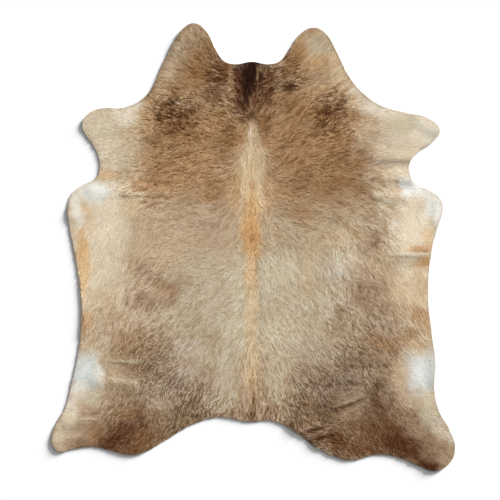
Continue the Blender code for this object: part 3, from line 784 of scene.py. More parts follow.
class CowhideSkin(bpy.types.PropertyGroup):
    """Sizes and colours of the tanned skin."""

    thickness: length_setting(
        "Thickness", "Thickness of the tanned skin", 3.0 * MM, 1.0 * MM, 5.0 * MM)
    unevenness: length_setting(
        "Unevenness", "Height of the slight waves that a laid out hide keeps", 0.7 * MM, 0.0, 3.0 * MM)
    grain: length_setting(
        "Grain", "Step of the skin's mesh", 15.0 * MM, 5.0 * MM, 100.0 * MM)
    crease_grain: length_setting(
        "Crease grain", "Step of the skin's mesh on the creases", 6.0 * MM, 2.0 * MM, 50.0 * MM)
    flesh: plain_colour(
        "Flesh side", "Suede colour of the underside and the cut edge", (0.56, 0.47, 0.36))


class CowhideCoat(bpy.types.PropertyGroup):
    """Sizes and tones of the hair coat."""

    locks: IntProperty(
        name="Locks", description="How many locks of hair the whole coat has",
        default=222000, min=1000, max=232000)
    width: length_setting(
        "Lock width", "Width of a lock where it is widest", 3.0 * MM, 1.0 * MM, 12.0 * MM)
    length: share_setting(
        "Length", "Length of the hair against that of the guides", 1.2, 0.3, 2.0)
    lift: share_setting(
        "Lift", "How far the tips stand off the skin against the guides", 0.3, 0.0, 2.0)
    overhang: length_setting(
        "Overhang", "How far the hair reaches past the cut edge", 1.2 * MM, 0.0, 8.0 * MM)
    gain: share_setting(
        "Gain", "How much lighter the hair is than it shows, for its own shade", 1.06, 0.5, 2.0)
    # Painted light: lightens the locks lying across the low light, against the shade between them
    across: share_setting(
        "Across", "Lightening of the locks that lie across the low light", 0.18, 0.0, 1.0)
    contrast: share_setting(
        "Contrast", "Difference between light and dark wisps", 0.5, 0.0, 2.0)
    seed: IntProperty(
        name="Seed", description="Number that starts the coat's random choices",
        default=7, min=0)


class CowhideStudio(bpy.types.PropertyGroup):
    """Sizes and strengths of the studio."""

    floor_size: length_setting(
        "Floor size", "Side of the square floor", 9.0, 3.0, 40.0)
    floor_colour: plain_colour(
        "Floor", "Colour of the floor", (0.97, 0.97, 0.97))
    daylight: share_setting(
        "Daylight", "Strength of the even light all round", 0.16, 0.0, 5.0)
    key: share_setting(
        "Key light", "Strength of the soft light from the upper right", 0.6, 0.0, 20.0)
    rake: share_setting(
        "Low light", "Strength of the low light that draws the edge's shadow", 10.5, 0.0, 20.0)
    view_side: length_setting(
        "View side", "Side of the square that the camera sees on the floor", 2.5, 0.5, 20.0)


def linear(colour):
    """A display colour as linear light: the standard curve with its straight foot."""
    value = np.asarray(colour, float)
    return np.where(value <= 0.04045, value / 12.92, ((value + 0.055) / 1.055) ** 2.4)


def eased(share):
    """Soft step: three share squared less two share cubed, held between 0 and 1."""
    share = np.clip(share, 0.0, 1.0)
    return share * share * (3.0 - 2.0 * share)


def corner_value(column, row, seed):
    """Random number from -1 to 1 for each lattice corner, mixed from its whole coordinates."""
    mixed = (column * 374761393 + row * 668265263 + seed * 362437) & 0xFFFFFFFF
    mixed = ((mixed ^ (mixed >> 13)) * 1274126177) & 0xFFFFFFFF
    return ((mixed ^ (mixed >> 16)) & 0xFFFFFF) / float(0x7FFFFF) - 1.0


def soft_noise(x, y, size, seed):
    """Value noise: random corners of squares of one size, blended across each with an eased share."""
    across, up = x / size, y / size
    column, row = np.floor(across).astype(np.int64), np.floor(up).astype(np.int64)
    share_x, share_y = eased(across - column), eased(up - row)
    low = corner_value(column, row, seed) * (1.0 - share_x)
    low = low + corner_value(column + 1, row, seed) * share_x
    high = corner_value(column, row + 1, seed) * (1.0 - share_x)
    high = high + corner_value(column + 1, row + 1, seed) * share_x
    return low * (1.0 - share_y) + high * share_y


def ridge_sum(x, y, rows):
    """Sum of the raised-cosine ridges in a table, in metres, for places in centimetres."""
    total = np.zeros_like(x)
    for _, start_x, start_y, end_x, end_y, half_width, start_mm, end_mm in rows:
        run_x, run_y = end_x - start_x, end_y - start_y
        share = ((x - start_x) * run_x + (y - start_y) * run_y) / (run_x ** 2 + run_y ** 2)
        share = np.clip(share, 0.0, 1.0)
        distance = np.hypot(x - start_x - run_x * share, y - start_y - run_y * share)
        crest = (start_mm + (end_mm - start_mm) * share) * MM
        swell = 0.5 * (1.0 + np.cos(np.pi * np.minimum(distance / half_width, 1.0)))
        total += crest * swell
    return total


def sheet_height(x, y, unevenness):
    """Height of the flesh side: folds, creases and slight waves, never below the floor."""
    waves = soft_noise(x, y, size=13.0, seed=3) + 0.5 * soft_noise(x, y, size=6.0, seed=4)
    height = ridge_sum(x, y, FOLDS) + ridge_sum(x, y, CREASES)
    return np.maximum(height + unevenness * np.maximum(waves, 0.0), 0.0)


def hair_lie(x, y):
    """Flow, length, contrast and lift of the hair: the guides' mean, weighted by how near each is.
    The last one is how much the guides disagree, from 0 to 1, as at a whorl."""
    sums = np.zeros((6, len(x)))
    for _, place_x, place_y, reach, turn, length, contrast, lift in GUIDES:
        weight = (1.0 + ((x - place_x) ** 2 + (y - place_y) ** 2) / reach ** 2) ** -3
        turn = math.radians(turn)
        values = (math.cos(turn), math.sin(turn), length, contrast, lift, 1.0)
        sums += np.outer(values, weight)
    turn = np.arctan2(sums[1], sums[0])
    length, contrast, lift = sums[2:5] / sums[5]
    return turn, length, contrast, lift, 1.0 - np.hypot(sums[0], sums[1]) / sums[5]


def coat_colour(x, y, palette, stray):
    """Linear colour of the coat: each marking laid over those before it with a soft, ragged edge. Stray
    hair takes its cover from a little nearer to a marking's middle or further from it."""
    ragged_x = soft_noise(x, y, size=7.0, seed=11) + 0.6 * soft_noise(x, y, size=2.4, seed=12)
    ragged_y = soft_noise(x, y, size=7.0, seed=13) + 0.6 * soft_noise(x, y, size=2.4, seed=14)
    colour = np.tile(linear(palette.camel), (len(x), 1))
    for _, place_x, place_y, half_length, half_width, turn, name, strength in MARKINGS:
        turn = math.radians(turn)
        ragged = min(0.4 * half_width, MOST_RAGGED)
        away_x, away_y = x + ragged * ragged_x - place_x, y + ragged * ragged_y - place_y
        along = (away_x * math.cos(turn) + away_y * math.sin(turn)) / half_length
        aside = (away_y * math.cos(turn) - away_x * math.sin(turn)) / half_width
        outward = (np.hypot(along, aside) + stray - FULL_COVER) / FADE
        cover = strength * (1.0 - eased(outward))
        colour += cover[:, None] * (linear(getattr(palette, name)) - colour)
    return colour


def wisps(x, y, turn, size, reach, seed):
    """Noise drawn out along the hair: the mean of fine noise at nine steps along the flow."""
    total = np.zeros_like(x)
    for share in np.linspace(-0.5, 0.5, 9):
        step = share * reach
        total += soft_noise(x + step * np.cos(turn), y + step * np.sin(turn), size, seed)
    return total / total.std()


def new_piece(name, mesh, materials):
    """Links a finished mesh as a piece of the rug that stands for the solid hide."""
    for old in [o for o in bpy.data.objects if o.name == name]:
        bpy.data.objects.remove(old)
    piece = bpy.data.objects.new(name, mesh)
    for material in materials:
        mesh.materials.append(material)
    bpy.context.scene.collection.objects.link(piece)
    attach(piece, "root")
    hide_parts(HIDE)
    return piece


def fresh_material(name):
    """New node material, with its node tree and its shader."""
    material = bpy.data.materials.new(name)
    material.use_nodes = True
    return material, material.node_tree, material.node_tree.nodes["Principled BSDF"]


def fill(tree, node, inputs):
    """Links each input of a node, named or numbered, to the socket given for it or sets it to a value."""
    for name, value in inputs.items():
        if isinstance(value, bpy.types.NodeSocket):
            tree.links.new(value, node.inputs[name])
        else:
            node.inputs[name].default_value = value


def add_node(tree, kind, inputs, **settings):
    """Adds one shader node with its settings and its inputs, and gives its outputs."""
    node = tree.nodes.new("ShaderNode" + kind)
    for name, value in settings.items():
        setattr(node, name, value)
    fill(tree, node, inputs)
    return node.outputs


def soft_normal(tree):
    """Normal for hair, which shades less with its lean than a hard face does: the surface's own normal
    drawn toward the piece's up by a share."""
    own = add_node(tree, "TexCoord", {})["Normal"]
    kept = 1.0 - UP_SHARE
    drawn = add_node(
        tree, "VectorMath", {0: own, 1: (kept, kept, kept), 2: (0.0, 0.0, UP_SHARE)},
        operation="MULTIPLY_ADD")
    return add_node(
        tree, "VectorTransform", {"Vector": drawn["Vector"]},
        vector_type="NORMAL", convert_from="OBJECT", convert_to="WORLD")["Vector"]


def coat_tint(tree, tone):
    """The coat's own colour, times a tone."""
    colour = add_node(tree, "Attribute", {}, attribute_name="coat")["Color"]
    return add_node(tree, "VectorMath", {0: colour, "Scale": tone}, operation="SCALE")["Vector"]


def hair_material():
    """Coat: the locks' own colours with fine strands along each lock, a soft sheen and strand bump."""
    material, tree, shader = fresh_material("cow_hair")
    place = add_node(tree, "UVMap", {}, uv_map="strands")["UV"]
    place = add_node(tree, "Mapping", {"Vector": place, "Scale": (9.0, 0.9, 1.0)})["Vector"]
    strand = add_node(
        tree, "TexNoise", {"Vector": place, "Scale": 1.0, "Detail": 2.0, "Roughness": 0.6},
        noise_dimensions="2D")["Fac"]
    tone = add_node(tree, "MapRange", {
        "Value": strand, "From Min": 0.3, "From Max": 0.7, "To Min": 0.9, "To Max": 1.1})
    gloss = add_node(tree, "MapRange", {"Value": strand, "To Min": 0.48, "To Max": 0.72})
    bump = add_node(tree, "Bump", {
        "Height": strand, "Normal": soft_normal(tree), "Strength": 0.5, "Distance": 0.4 * MM})
    fill(tree, shader, {
        "Base Color": coat_tint(tree, tone["Result"]), "Roughness": gloss["Result"],
        "Normal": bump["Normal"], "Specular IOR Level": 0.05,
        "Sheen Weight": 0.01, "Sheen Roughness": 0.45})
    return material


def under_hair_material():
    """Short under-hair close to the skin: the coat's colour in shade, broken by fine grain."""
    material, tree, shader = fresh_material("under_hair")
    place = add_node(tree, "TexCoord", {})["Object"]
    grain = add_node(tree, "TexNoise", {"Vector": place, "Scale": 420.0, "Detail": 3.0})["Fac"]
    tone = add_node(tree, "MapRange", {"Value": grain, "To Min": 0.72, "To Max": 1.0})
    bump = add_node(tree, "Bump", {
        "Height": grain, "Normal": soft_normal(tree), "Strength": 0.6, "Distance": 0.8 * MM})
    fill(tree, shader, {
        "Base Color": coat_tint(tree, tone["Result"]), "Roughness": 0.8,
        "Normal": bump["Normal"], "Specular IOR Level": 0.08})
    return material


def suede_material(flesh):
    """Flesh side and cut edge: napped suede with cloudy shades, faint veins and a fine nap."""
    material, tree, shader = fresh_material("suede")
    place = add_node(tree, "TexCoord", {})["Object"]
    cloud = add_node(tree, "TexNoise", {"Vector": place, "Scale": 5.0, "Detail": 5.0})["Fac"]
    shades = tree.nodes.new("ShaderNodeValToRGB")
    for stop, position, share in zip(shades.color_ramp.elements, (0.32, 0.68), (0.78, 1.16)):
        stop.position = position
        stop.color = (*[min(1.0, value * share) for value in flesh], 1.0)
    fill(tree, shades, {"Fac": cloud})
    vein = add_node(
        tree, "TexVoronoi", {"Vector": place, "Scale": 7.0}, feature="DISTANCE_TO_EDGE")
    vein_tone = add_node(tree, "MapRange", {
        "Value": vein["Distance"], "From Max": 0.04, "To Min": 0.9})
    tint = add_node(
        tree, "VectorMath", {0: shades.outputs["Color"], "Scale": vein_tone["Result"]},
        operation="SCALE")
    nap = add_node(tree, "TexNoise", {"Vector": place, "Scale": 650.0, "Detail": 4.0})["Fac"]
    matt = add_node(tree, "MapRange", {"Value": nap, "To Min": 0.82, "To Max": 0.98})
    bump = add_node(tree, "Bump", {"Height": nap, "Strength": 0.7, "Distance": 0.5 * MM})
    fill(tree, shader, {
        "Base Color": tint["Vector"], "Roughness": matt["Result"], "Normal": bump["Normal"],
        "Sheen Weight": 0.2, "Specular IOR Level": 0.15})
    return material


def triangle_mesh(name, places, faces, smooth):
    """New mesh of triangles, from rows of points in metres and rows of three point numbers."""
    mesh = bpy.data.meshes.new(name)
    mesh.vertices.add(len(places))
    mesh.vertices.foreach_set("co", places.astype(np.float32).ravel())
    mesh.loops.add(faces.size)
    mesh.loops.foreach_set("vertex_index", faces.astype(np.int32).ravel())
    mesh.polygons.add(len(faces))
    mesh.polygons.foreach_set("loop_start", np.arange(0, faces.size, 3, dtype=np.int32))
    mesh.polygons.foreach_set("use_smooth", np.full(len(faces), smooth))
    mesh.update(calc_edges=True)
    return mesh


def paint(mesh, colours):
    """Stores the coat's colour and full cover at each of the mesh's points."""
    coat = mesh.color_attributes.new("coat", "FLOAT_COLOR", "POINT")
    coat.data.foreach_set("color", colours.astype(np.float32).ravel())


def mesh_places(mesh):
    """The mesh's points as rows of x, y and z."""
    places = np.empty(len(mesh.vertices) * 3, np.float32)
    mesh.vertices.foreach_get("co", places)
    return places.reshape(-1, 3).astype(float)


def mesh_triangles(mesh):
    """The corners' point numbers and the unit normals of a mesh of triangles."""
    corners = np.empty(len(mesh.loops), np.int32)
    mesh.loops.foreach_get("vertex_index", corners)
    normals = np.empty(len(mesh.polygons) * 3, np.float32)
    mesh.polygons.foreach_get("normal", normals)
    return corners.reshape(-1, 3), normals.reshape(-1, 3)


def triangle_edges(triangles):
    """The three edges of each triangle, as pairs of point numbers."""
    return triangles[:, [0, 1, 1, 2, 2, 0]].reshape(-1, 2)


def solid_rim():
    """Rim of the solid's hair side, read from a merged copy of the solid: its points in centimetres,
    the way out at each, the mean of the cut edge's normals there, and its edges as point numbers."""
    merged = bmesh.new()
    merged.from_mesh(frame["nodes"][HIDE].data)
    bmesh.ops.remove_doubles(merged, verts=merged.verts, dist=0.01 * MM)
    mesh = bpy.data.meshes.new("solid_copy")
    merged.to_mesh(mesh)
    merged.free()
    places = mesh_places(mesh)
    lean = np.empty(len(places) * 3, np.float32)
    mesh.vertex_normals.foreach_get("vector", lean)
    triangles, normals = mesh_triangles(mesh)
    bpy.data.meshes.remove(mesh)
    wall = (np.abs(normals[:, 2]) < 0.5) & (np.abs(normals).sum(1) > 0.5)
    away = np.zeros((len(places), 2))
    for column in triangles[wall].T:
        np.add.at(away, column, normals[wall, :2])
    edges = triangle_edges(triangles[wall])
    edges = edges[(lean[2::3] > 0.0)[edges].all(1)]
    rim, numbers = np.unique(edges, return_inverse=True)
    away = away[rim] / np.linalg.norm(away[rim], axis=1)[:, None]
    return places[rim, :2] / CM, away, numbers.reshape(-1, 2)


def nearest_rim(places, rim):
    """Number of the rim's point that is nearest to each place, and how far it is."""
    near = np.empty(len(places), int)
    distance = np.empty(len(places))
    for block in np.array_split(np.arange(len(places)), len(places) // BLOCK + 1):
        far = ((rim[None, :, :] - places[block, None, :]) ** 2).sum(2)
        near[block] = far.argmin(1)
        distance[block] = np.sqrt(far[np.arange(len(block)), near[block]])
    return near, distance


def lattice(step, low, high):
    """Triangular lattice over a rectangle: rows of points, every other row set half a step aside."""
    x, y = np.meshgrid(
        np.arange(low[0], high[0], step), np.arange(low[1], high[1], step * math.sqrt(0.75)))
    x[1::2] += 0.5 * step
    return np.stack((x.ravel(), y.ravel()), 1)


def sheet_plan(skin):
    """Plan of the sheet, in centimetres: the triangles between the rim and a lattice inside it, which
    is finer on the creases. A lattice point stays if it lies well inside its nearest rim point."""
    rim, away, edges = solid_rim()
    points = [rim]
    for step, on_crease in ((skin.grain / CM, False), (skin.crease_grain / CM, True)):
        inner = lattice(step, rim.min(0), rim.max(0))
        creased = np.abs(ridge_sum(inner[:, 0], inner[:, 1], CREASES)) > 0.0
        inner = inner[creased == on_crease]
        near, _ = nearest_rim(inner, rim)
        depth = ((rim[near] - inner) * away[near]).sum(1)
        points.append(inner[depth > WELL_INSIDE * step])
    points = [Vector(point) for point in np.concatenate(points)]
    points, _, faces, _, _, _ = delaunay_2d_cdt(points, edges.tolist(), [], 1, 1e-5)
    points, triangles = np.array([point[:] for point in points]), np.array(faces)
    used, triangles = np.unique(triangles, return_inverse=True)
    points, triangles = points[used], triangles.reshape(-1, 3)
    first, second, third = points[triangles].transpose(1, 0, 2)
    turn = np.cross(second - first, third - first)
    triangles[turn < 0.0] = triangles[turn < 0.0, ::-1]
    return points, triangles


def skin_mesh(skin, palette):
    """The tanned sheet: its plan at the sheet's height, the same turned over and raised by the
    thickness, and a wall round the rim, made on the edges that only one triangle has. Its under-hair
    has painted shade, darker where the wisps differ more, for the shade between the locks."""
    points, triangles = sheet_plan(skin)
    count = len(points)
    edges = triangle_edges(triangles)
    shared = np.isin(edges[:, 0] * count + edges[:, 1], edges[:, 1] * count + edges[:, 0])
    start, end = edges[~shared].T
    walls = np.concatenate((
        np.stack((end + count, start + count, start), 1), np.stack((end + count, start, end), 1)))
    faces = np.concatenate((triangles + count, triangles[:, ::-1], walls))

    x, y = points.T
    flesh_side = sheet_height(x, y, skin.unevenness)
    places = np.empty((2 * count, 3))
    places[:, :2] = np.tile(points, (2, 1)) * CM
    places[:, 2] = np.concatenate((flesh_side, flesh_side + skin.thickness))
    mesh = triangle_mesh("hide_skin", places, faces, True)
    suede = np.arange(len(faces)) >= len(triangles)
    mesh.polygons.foreach_set("material_index", suede.astype(np.int32))
    mesh.update()

    # Painted shade between the locks: the under-hair's colour darkened, the more where wisps differ
    contrast = hair_lie(x, y)[2]
    colour = np.ones((count, 4))
    colour[:, :3] = (UNDER_SHADE_TONE - UNDER_SHADE_FALL * contrast)[:, None] * coat_colour(x, y, palette, 0.0)
    paint(mesh, np.tile(colour, (2, 1)))
    mesh.set_sharp_from_angle(angle=math.radians(SHARP_BEND))
    return mesh


def hair_roots(mesh, count, chance):
    """Even spread over the hair side: equal steps along the running sum of the triangles' areas, each
    step jittered, and a random place in the triangle where it falls."""
    places = mesh_places(mesh)
    triangles, _ = mesh_triangles(mesh)
    slot = np.empty(len(triangles), np.int32)
    mesh.polygons.foreach_get("material_index", slot)
    first, second, third = places[triangles[slot == 0]].transpose(1, 0, 2)
    area = 0.5 * np.linalg.norm(np.cross(second - first, third - first), axis=1)
    running = np.cumsum(area)
    steps = (np.arange(count) + chance.random(count)) / count * running[-1]
    pick = np.searchsorted(running, steps)
    share = chance.random((2, count))
    share = np.where(share.sum(0) > 1.0, 1.0 - share, share)[:, :, None]
    roots = first[pick] + share[0] * (second - first)[pick] + share[1] * (third - first)[pick]
    return roots[:, :2] / CM


def combed(x, y, chance):
    """Lie of each lock: what the guides say, with the turn swayed by soft noise, by chance, more so in a
    whorl, and by the step from a dark wisp to a light one."""
    turn, length, contrast, lift, whorl = hair_lie(x, y)
    turn += np.radians(BROAD_SWAY) * soft_noise(x, y, size=5.5, seed=21)
    turn += np.radians(SMALL_SWAY + WISPY_SWAY * contrast) * soft_noise(x, y, size=2.2, seed=22)
    reach = WISP_REACH * length
    streak = wisps(x, y, turn, WISP, reach, seed=23)
    clump = wisps(x, y, turn, CLUMP, CLUMP_REACH * reach, seed=24)
    side_x, side_y = x - 0.5 * WISP * np.sin(turn), y + 0.5 * WISP * np.cos(turn)
    step = wisps(side_x, side_y, turn, WISP, reach, seed=23) - streak
    turn += np.radians(CHANCE_SWAY + WHORL_SWAY * whorl ** 2) * chance.standard_normal(len(x))
    turn += np.radians(STEP_SWAY) * np.clip(step, -1.5, 1.5) * contrast
    flow = np.stack((np.cos(turn), np.sin(turn)), 1)
    return Lie(turn, flow, length, contrast, lift, streak, clump)


def trimmed(places, rim, away, overhang):
    """Places that lie further out than the overhang, drawn back to it along the rim's way out."""
    near, _ = nearest_rim(places, rim)
    excess = ((places - rim[near]) * away[near]).sum(1) - overhang
    return places - np.maximum(excess, 0.0)[:, None] * away[near]


def lock_points(roots, lie, coat, skin, chance):
    """Points of all locks in metres, and their middles and tips in plan. A lock is a closed slender kite
    of four points that starts in the skin, is widest a little before its middle, and ends in a lifted
    tip. Past the rim it is cut to its overhang and droops. Where the rim faces away from the lights,
    the hair stands up to one height."""
    rim, away, _ = solid_rim()
    count = len(roots)
    length = lie.length * (MM / CM) * coat.length
    length = length * (1.0 + LENGTH_SPREAD * chance.standard_normal(count)).clip(*LENGTH_BOUNDS)
    near, distance = nearest_rim(roots, rim)
    facing = np.maximum((lie.flow * away[near]).sum(1), 0.05)
    overhang = coat.overhang / CM * chance.random(count)
    length = np.maximum(np.minimum(length, (distance + overhang) / facing), SHORTEST)
    beyond = np.clip((length * facing - distance) / 0.3 + 1.0, 0.0, 1.0)

    width = coat.width / CM * (0.75 + 0.5 * chance.random(count))
    width = width * (0.8 + 0.4 * np.minimum(length, FULL_WIDTH_FROM) / FULL_WIDTH_FROM)
    bend = BEND * chance.standard_normal(count) * length
    across = np.stack((-lie.flow[:, 1], lie.flow[:, 0]), 1)
    half = (0.5 * width)[:, None] * across
    middle = roots + lie.flow * (WIDEST_AT * length)[:, None]
    tip = roots + lie.flow * length[:, None] + across * bend[:, None]
    plan = np.stack((roots, middle + half, middle - half, tip), 1)
    edge = distance < TRIM_BAND
    for corner in (1, 2, 3):
        plan[edge, corner] = trimmed(plan[edge, corner], rim, away, overhang[edge])
    tip = plan[:, 3]

    stand = lie.lift * (0.75 + 0.2 * np.clip(lie.streak, -1.6, 1.6))
    stand = stand * (0.8 + 0.4 * chance.random(count))
    ground, middle_ground, tip_ground = (
        sheet_height(place[:, 0], place[:, 1], skin.unevenness) for place in (roots, middle, tip))
    shaded_side = np.clip(0.2 - (away[near] * LIGHT_SIDE).sum(1), 0.0, 1.0)
    raised = shaded_side * np.maximum(RIM_STAND - ground, 0.0) * (1.0 - eased(distance / RIM_BAND))
    stand = coat.lift * np.minimum(stand, MOST_LIFT) * MM + raised
    tip_z = tip_ground + skin.thickness + stand * (0.55 + 0.45 * chance.random(count))

    points = np.empty((count, 4, 3))
    points[:, :, :2] = plan * CM
    points[:, 0, 2] = ground + skin.thickness - ROOT_DEPTH
    points[:, 1:3, 2] = (middle_ground + skin.thickness + 0.6 * stand * (1.0 - 0.4 * beyond))[:, None]
    points[:, 3, 2] = np.maximum(tip_z - RIM_DROOP * beyond, LOWEST_TIP)
    return points, middle, tip


def held_streak(streak, pale):
    """Wisps' noise without what goes past an even bound: in dark hair the light wisps' part of it, in
    pale hair the dark wisps' part."""
    past = pale * (np.abs(streak) - EVEN_WISP).clip(0.0, None)
    light = np.minimum(streak, EVEN_WISP) + past
    dark = np.maximum(streak - past, -EVEN_WISP - 2.0 * (1.0 - pale))
    return np.where(streak < 0.0, dark, light)


def held_tone(tone, pale):
    """Tone that counts for less past a bound, for light locks in dark hair and dark ones in pale hair."""
    tone = tone - (1.0 - pale) * HELD_SHARE * (tone - HELD_FROM).clip(0.0, None)
    tone = tone - pale * HELD_SHARE * (tone + HELD_FROM).clip(None, 0.0)
    return np.clip(tone, -MOST_TONE, MOST_TONE)


def toned(colour, tone):
    """Colour times tone, where light past a ceiling counts for less. The ceiling is a little more than
    the colour itself, or light gold where that is lighter."""
    ceiling = np.maximum(CEILING * colour, LIGHT_GOLD)
    return np.minimum(colour * tone, ceiling + PAST_CEILING * (colour * tone - ceiling))


def lock_colours(roots, middle, tip, lie, coat, palette, chance):
    """Colours of the locks' points: the markings' colour near its middle and its tip, times a tone from
    the wisps, the clumps, small curls and chance. Locks across the light are painted lighter against
    the shade between them, tips get painted light and roots painted shade."""
    count = len(roots)
    slip = (SLIP + WISPY_SLIP * lie.contrast) * chance.standard_normal(count)
    slip = slip[:, None] * lie.flow
    stray = (0.5 * lie.streak + 0.8 * chance.standard_normal(count)).clip(-2.0, 2.0)
    stray = STRAY * lie.contrast * stray
    body, end = (coat_colour(*(place + slip).T, palette, stray) for place in (middle, tip))
    pale = eased((body[:, 1] - PALE_FROM) / PALE_FROM)

    curl = soft_noise(*roots.T, size=1.5, seed=26) + 0.7 * soft_noise(*roots.T, size=0.8, seed=27)
    by_wisp, by_clump, by_curl, by_chance = TONE_WEIGHTS
    tone = by_wisp * held_streak(lie.streak, pale) + by_clump * lie.clump + by_curl * curl
    tone = held_tone(tone + by_chance * chance.standard_normal(count), pale)
    swing = coat.contrast * lie.contrast
    tone = swing * tone - SWING_LOSS * swing ** 2
    tone = np.exp(tone[:, None] * (WARM_DARKS + pale[:, None] * (COOL_LIGHTS - WARM_DARKS)))
    # Painted light: locks lying across the low light are made lighter, against the shade between them
    gain = coat.gain * (1.0 + coat.across * np.sin(lie.turn - math.radians(LIGHT_TURN)) ** 2)

    body = toned(body, gain[:, None] * tone)
    # Painted light on the tips, the more where wisps differ
    end = toned(end, (gain * (TIP_LIGHT_TONE + TIP_LIGHT_RISE * lie.contrast))[:, None] * tone)
    colours = np.ones((count, 4, 4))
    # Painted shade at the roots, the more where wisps differ
    colours[:, 0, :3] = body * np.maximum(ROOT_SHADE_TONE - ROOT_SHADE_FALL * lie.contrast, DARKEST_ROOT_SHADE)[:, None]
    colours[:, 1:3, :3] = body[:, None, :]
    colours[:, 3, :3] = end
    return np.clip(colours, 0.0, BRIGHTEST)


def coat_locks(mesh, coat, skin, palette):
    """Points and colours of all locks, four of each to a lock, from one run of random draws."""
    chance = np.random.default_rng(coat.seed)
    roots = hair_roots(mesh, coat.locks, chance)
    lie = combed(*roots.T, chance)
    points, middle, tip = lock_points(roots, lie, coat, skin, chance)
    return points, lock_colours(roots, middle, tip, lie, coat, palette, chance)


def lock_mesh(name, points, colours, offsets):
    """One mesh of many locks: the same four triangles round each lock's four points."""
    faces = LOCK_FACES[None] + 4 * np.arange(len(points))[:, None, None]
    mesh = triangle_mesh(name, points.reshape(-1, 3), faces.reshape(-1, 3), False)
    paint(mesh, colours)
    places = LOCK_MAP[LOCK_FACES][None] + offsets[:, None, None, :]
    strands = mesh.uv_layers.new(name="strands")
    strands.data.foreach_set("uv", places.astype(np.float32).ravel())
    return mesh


def rug_settings(context):
    """The add-on's four groups of settings."""
    scene = context.scene
    return scene.cowhide_skin, scene.cowhide_coat, scene.cowhide_palette, scene.cowhide_studio


class COWHIDE_OT_skin(bpy.types.Operator):
    """Build the tanned skin: one thin sheet with its folds, creases, cut edge and suede side"""

    bl_idname = "cowhide.skin"
    bl_label = "Hide Skin"

    def execute(self, context):
        skin, _, palette, _ = rug_settings(context)
        mesh = skin_mesh(skin, palette)
        new_piece("hide_skin", mesh, (under_hair_material(), suede_material(skin.flesh)))
        return {"FINISHED"}


class COWHIDE_OT_coat(bpy.types.Operator):
    """Build the hair coat: short lying locks over the whole hair side, in seven parts"""

    bl_idname = "cowhide.coat"
    bl_label = "Hair Coat"

    def execute(self, context):
        skin, coat, palette, _ = rug_settings(context)
        skin_piece = bpy.data.objects.get("hide_skin")
        if skin_piece is None:
            raise RuntimeError("build the hide skin before its hair coat")
        points, colours = coat_locks(skin_piece.data, coat, skin, palette)
        chance = np.random.default_rng(coat.seed + 1)
        offsets = np.floor(chance.random((len(points), 2)) * STRAND_PLACES)
        material = hair_material()
        x, y = points[:, 0, 0] / CM, points[:, 0, 1] / CM
        for name, low_x, high_x, low_y, high_y in COAT_PARTS:
            here = (x >= low_x) & (x < high_x) & (y >= low_y) & (y < high_y)
            mesh = lock_mesh(name, points[here], colours[here], offsets[here])
            new_piece(name, mesh, (material,))
        return {"FINISHED"}


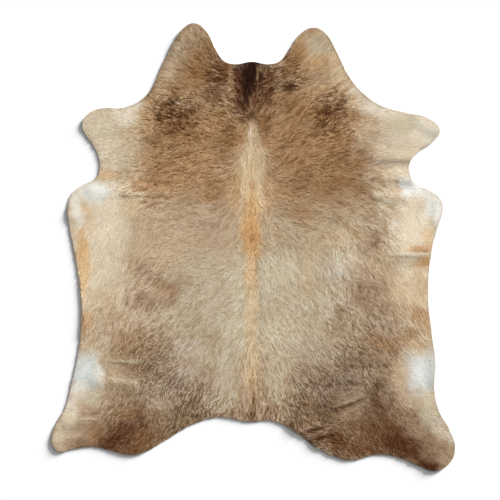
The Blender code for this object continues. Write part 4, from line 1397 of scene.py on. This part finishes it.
class COWHIDE_OT_studio(bpy.types.Operator):
    """Set up the plain pale floor, the soft lights and the camera straight above"""

    bl_idname = "cowhide.studio"
    bl_label = "Studio"

    def execute(self, context):
        _, _, _, studio = rug_settings(context)
        half = studio.floor_size / 2.0
        mesh = bpy.data.meshes.new("floor")
        corners = [(-half, -half, 0.0), (half, -half, 0.0), (half, half, 0.0), (-half, half, 0.0)]
        mesh.from_pydata(corners, [], [(0, 1, 2, 3)])
        floor = bpy.data.objects.new("floor", mesh)
        material, tree, shader = fresh_material("pale_floor")
        fill(tree, shader, {
            "Base Color": (*studio.floor_colour, 1.0), "Roughness": 0.9, "Specular IOR Level": 0.0})
        mesh.materials.append(material)
        context.scene.collection.objects.link(floor)

        world = bpy.data.worlds.new("daylight")
        world.use_nodes = True
        sky = world.node_tree.nodes["Background"]
        fill(world.node_tree, sky, {"Color": (1.0, 1.0, 1.0, 1.0), "Strength": studio.daylight})
        context.scene.world = world
        for name, setting, height, spread in SUNS:
            self.soft_sun(context, name, getattr(studio, setting), height, spread)

        camera = bpy.data.objects.new("camera", bpy.data.cameras.new("camera"))
        camera.data.lens = LENS
        camera.data.sensor_width = SENSOR
        camera.location = (*VIEW_MIDDLE, studio.view_side * LENS / SENSOR)
        context.scene.collection.objects.link(camera)
        context.scene.camera = camera
        context.scene.view_settings.view_transform = "Standard"
        return {"FINISHED"}

    def soft_sun(self, context, name, strength, height, spread):
        """Even parallel light from the lights' side, at a height above the floor, in degrees."""
        light = bpy.data.lights.new(name, "SUN")
        light.energy = strength
        light.angle = math.radians(spread)
        lamp = bpy.data.objects.new(name, light)
        tilt = math.radians(90.0 - height)
        lamp.rotation_euler = (tilt, 0.0, math.radians(LIGHT_TURN + 90.0))
        context.scene.collection.objects.link(lamp)


class COWHIDE_PT_panel(bpy.types.Panel):
    """Sizes, colours and steps of the rug"""

    bl_idname = "COWHIDE_PT_panel"
    bl_label = "Cowhide Rug"
    bl_space_type = "VIEW_3D"
    bl_region_type = "UI"
    bl_category = "Cowhide Rug"

    def draw(self, context):
        skin, coat, palette, studio = rug_settings(context)
        steps = (
            (skin, "cowhide.skin"), (palette, None), (coat, "cowhide.coat"), (studio, "cowhide.studio"))
        for group, operator in steps:
            box = self.layout.box()
            for name in group.__annotations__:
                box.prop(group, name)
            if operator:
                box.operator(operator)


CLASSES = (
    CowhidePalette, CowhideSkin, CowhideCoat, CowhideStudio,
    COWHIDE_OT_skin, COWHIDE_OT_coat, COWHIDE_OT_studio, COWHIDE_PT_panel,
)


def register():
    for cls in CLASSES:
        bpy.utils.register_class(cls)
    bpy.types.Scene.cowhide_palette = PointerProperty(type=CowhidePalette)
    bpy.types.Scene.cowhide_skin = PointerProperty(type=CowhideSkin)
    bpy.types.Scene.cowhide_coat = PointerProperty(type=CowhideCoat)
    bpy.types.Scene.cowhide_studio = PointerProperty(type=CowhideStudio)


def unregister():
    del bpy.types.Scene.cowhide_studio
    del bpy.types.Scene.cowhide_coat
    del bpy.types.Scene.cowhide_skin
    del bpy.types.Scene.cowhide_palette
    for cls in reversed(CLASSES):
        bpy.utils.unregister_class(cls)


def main():
    """Build the rug and its studio."""
    register()
    bpy.ops.cowhide.skin()
    bpy.ops.cowhide.coat()
    bpy.ops.cowhide.studio()


if __name__ == "__main__":
    main()
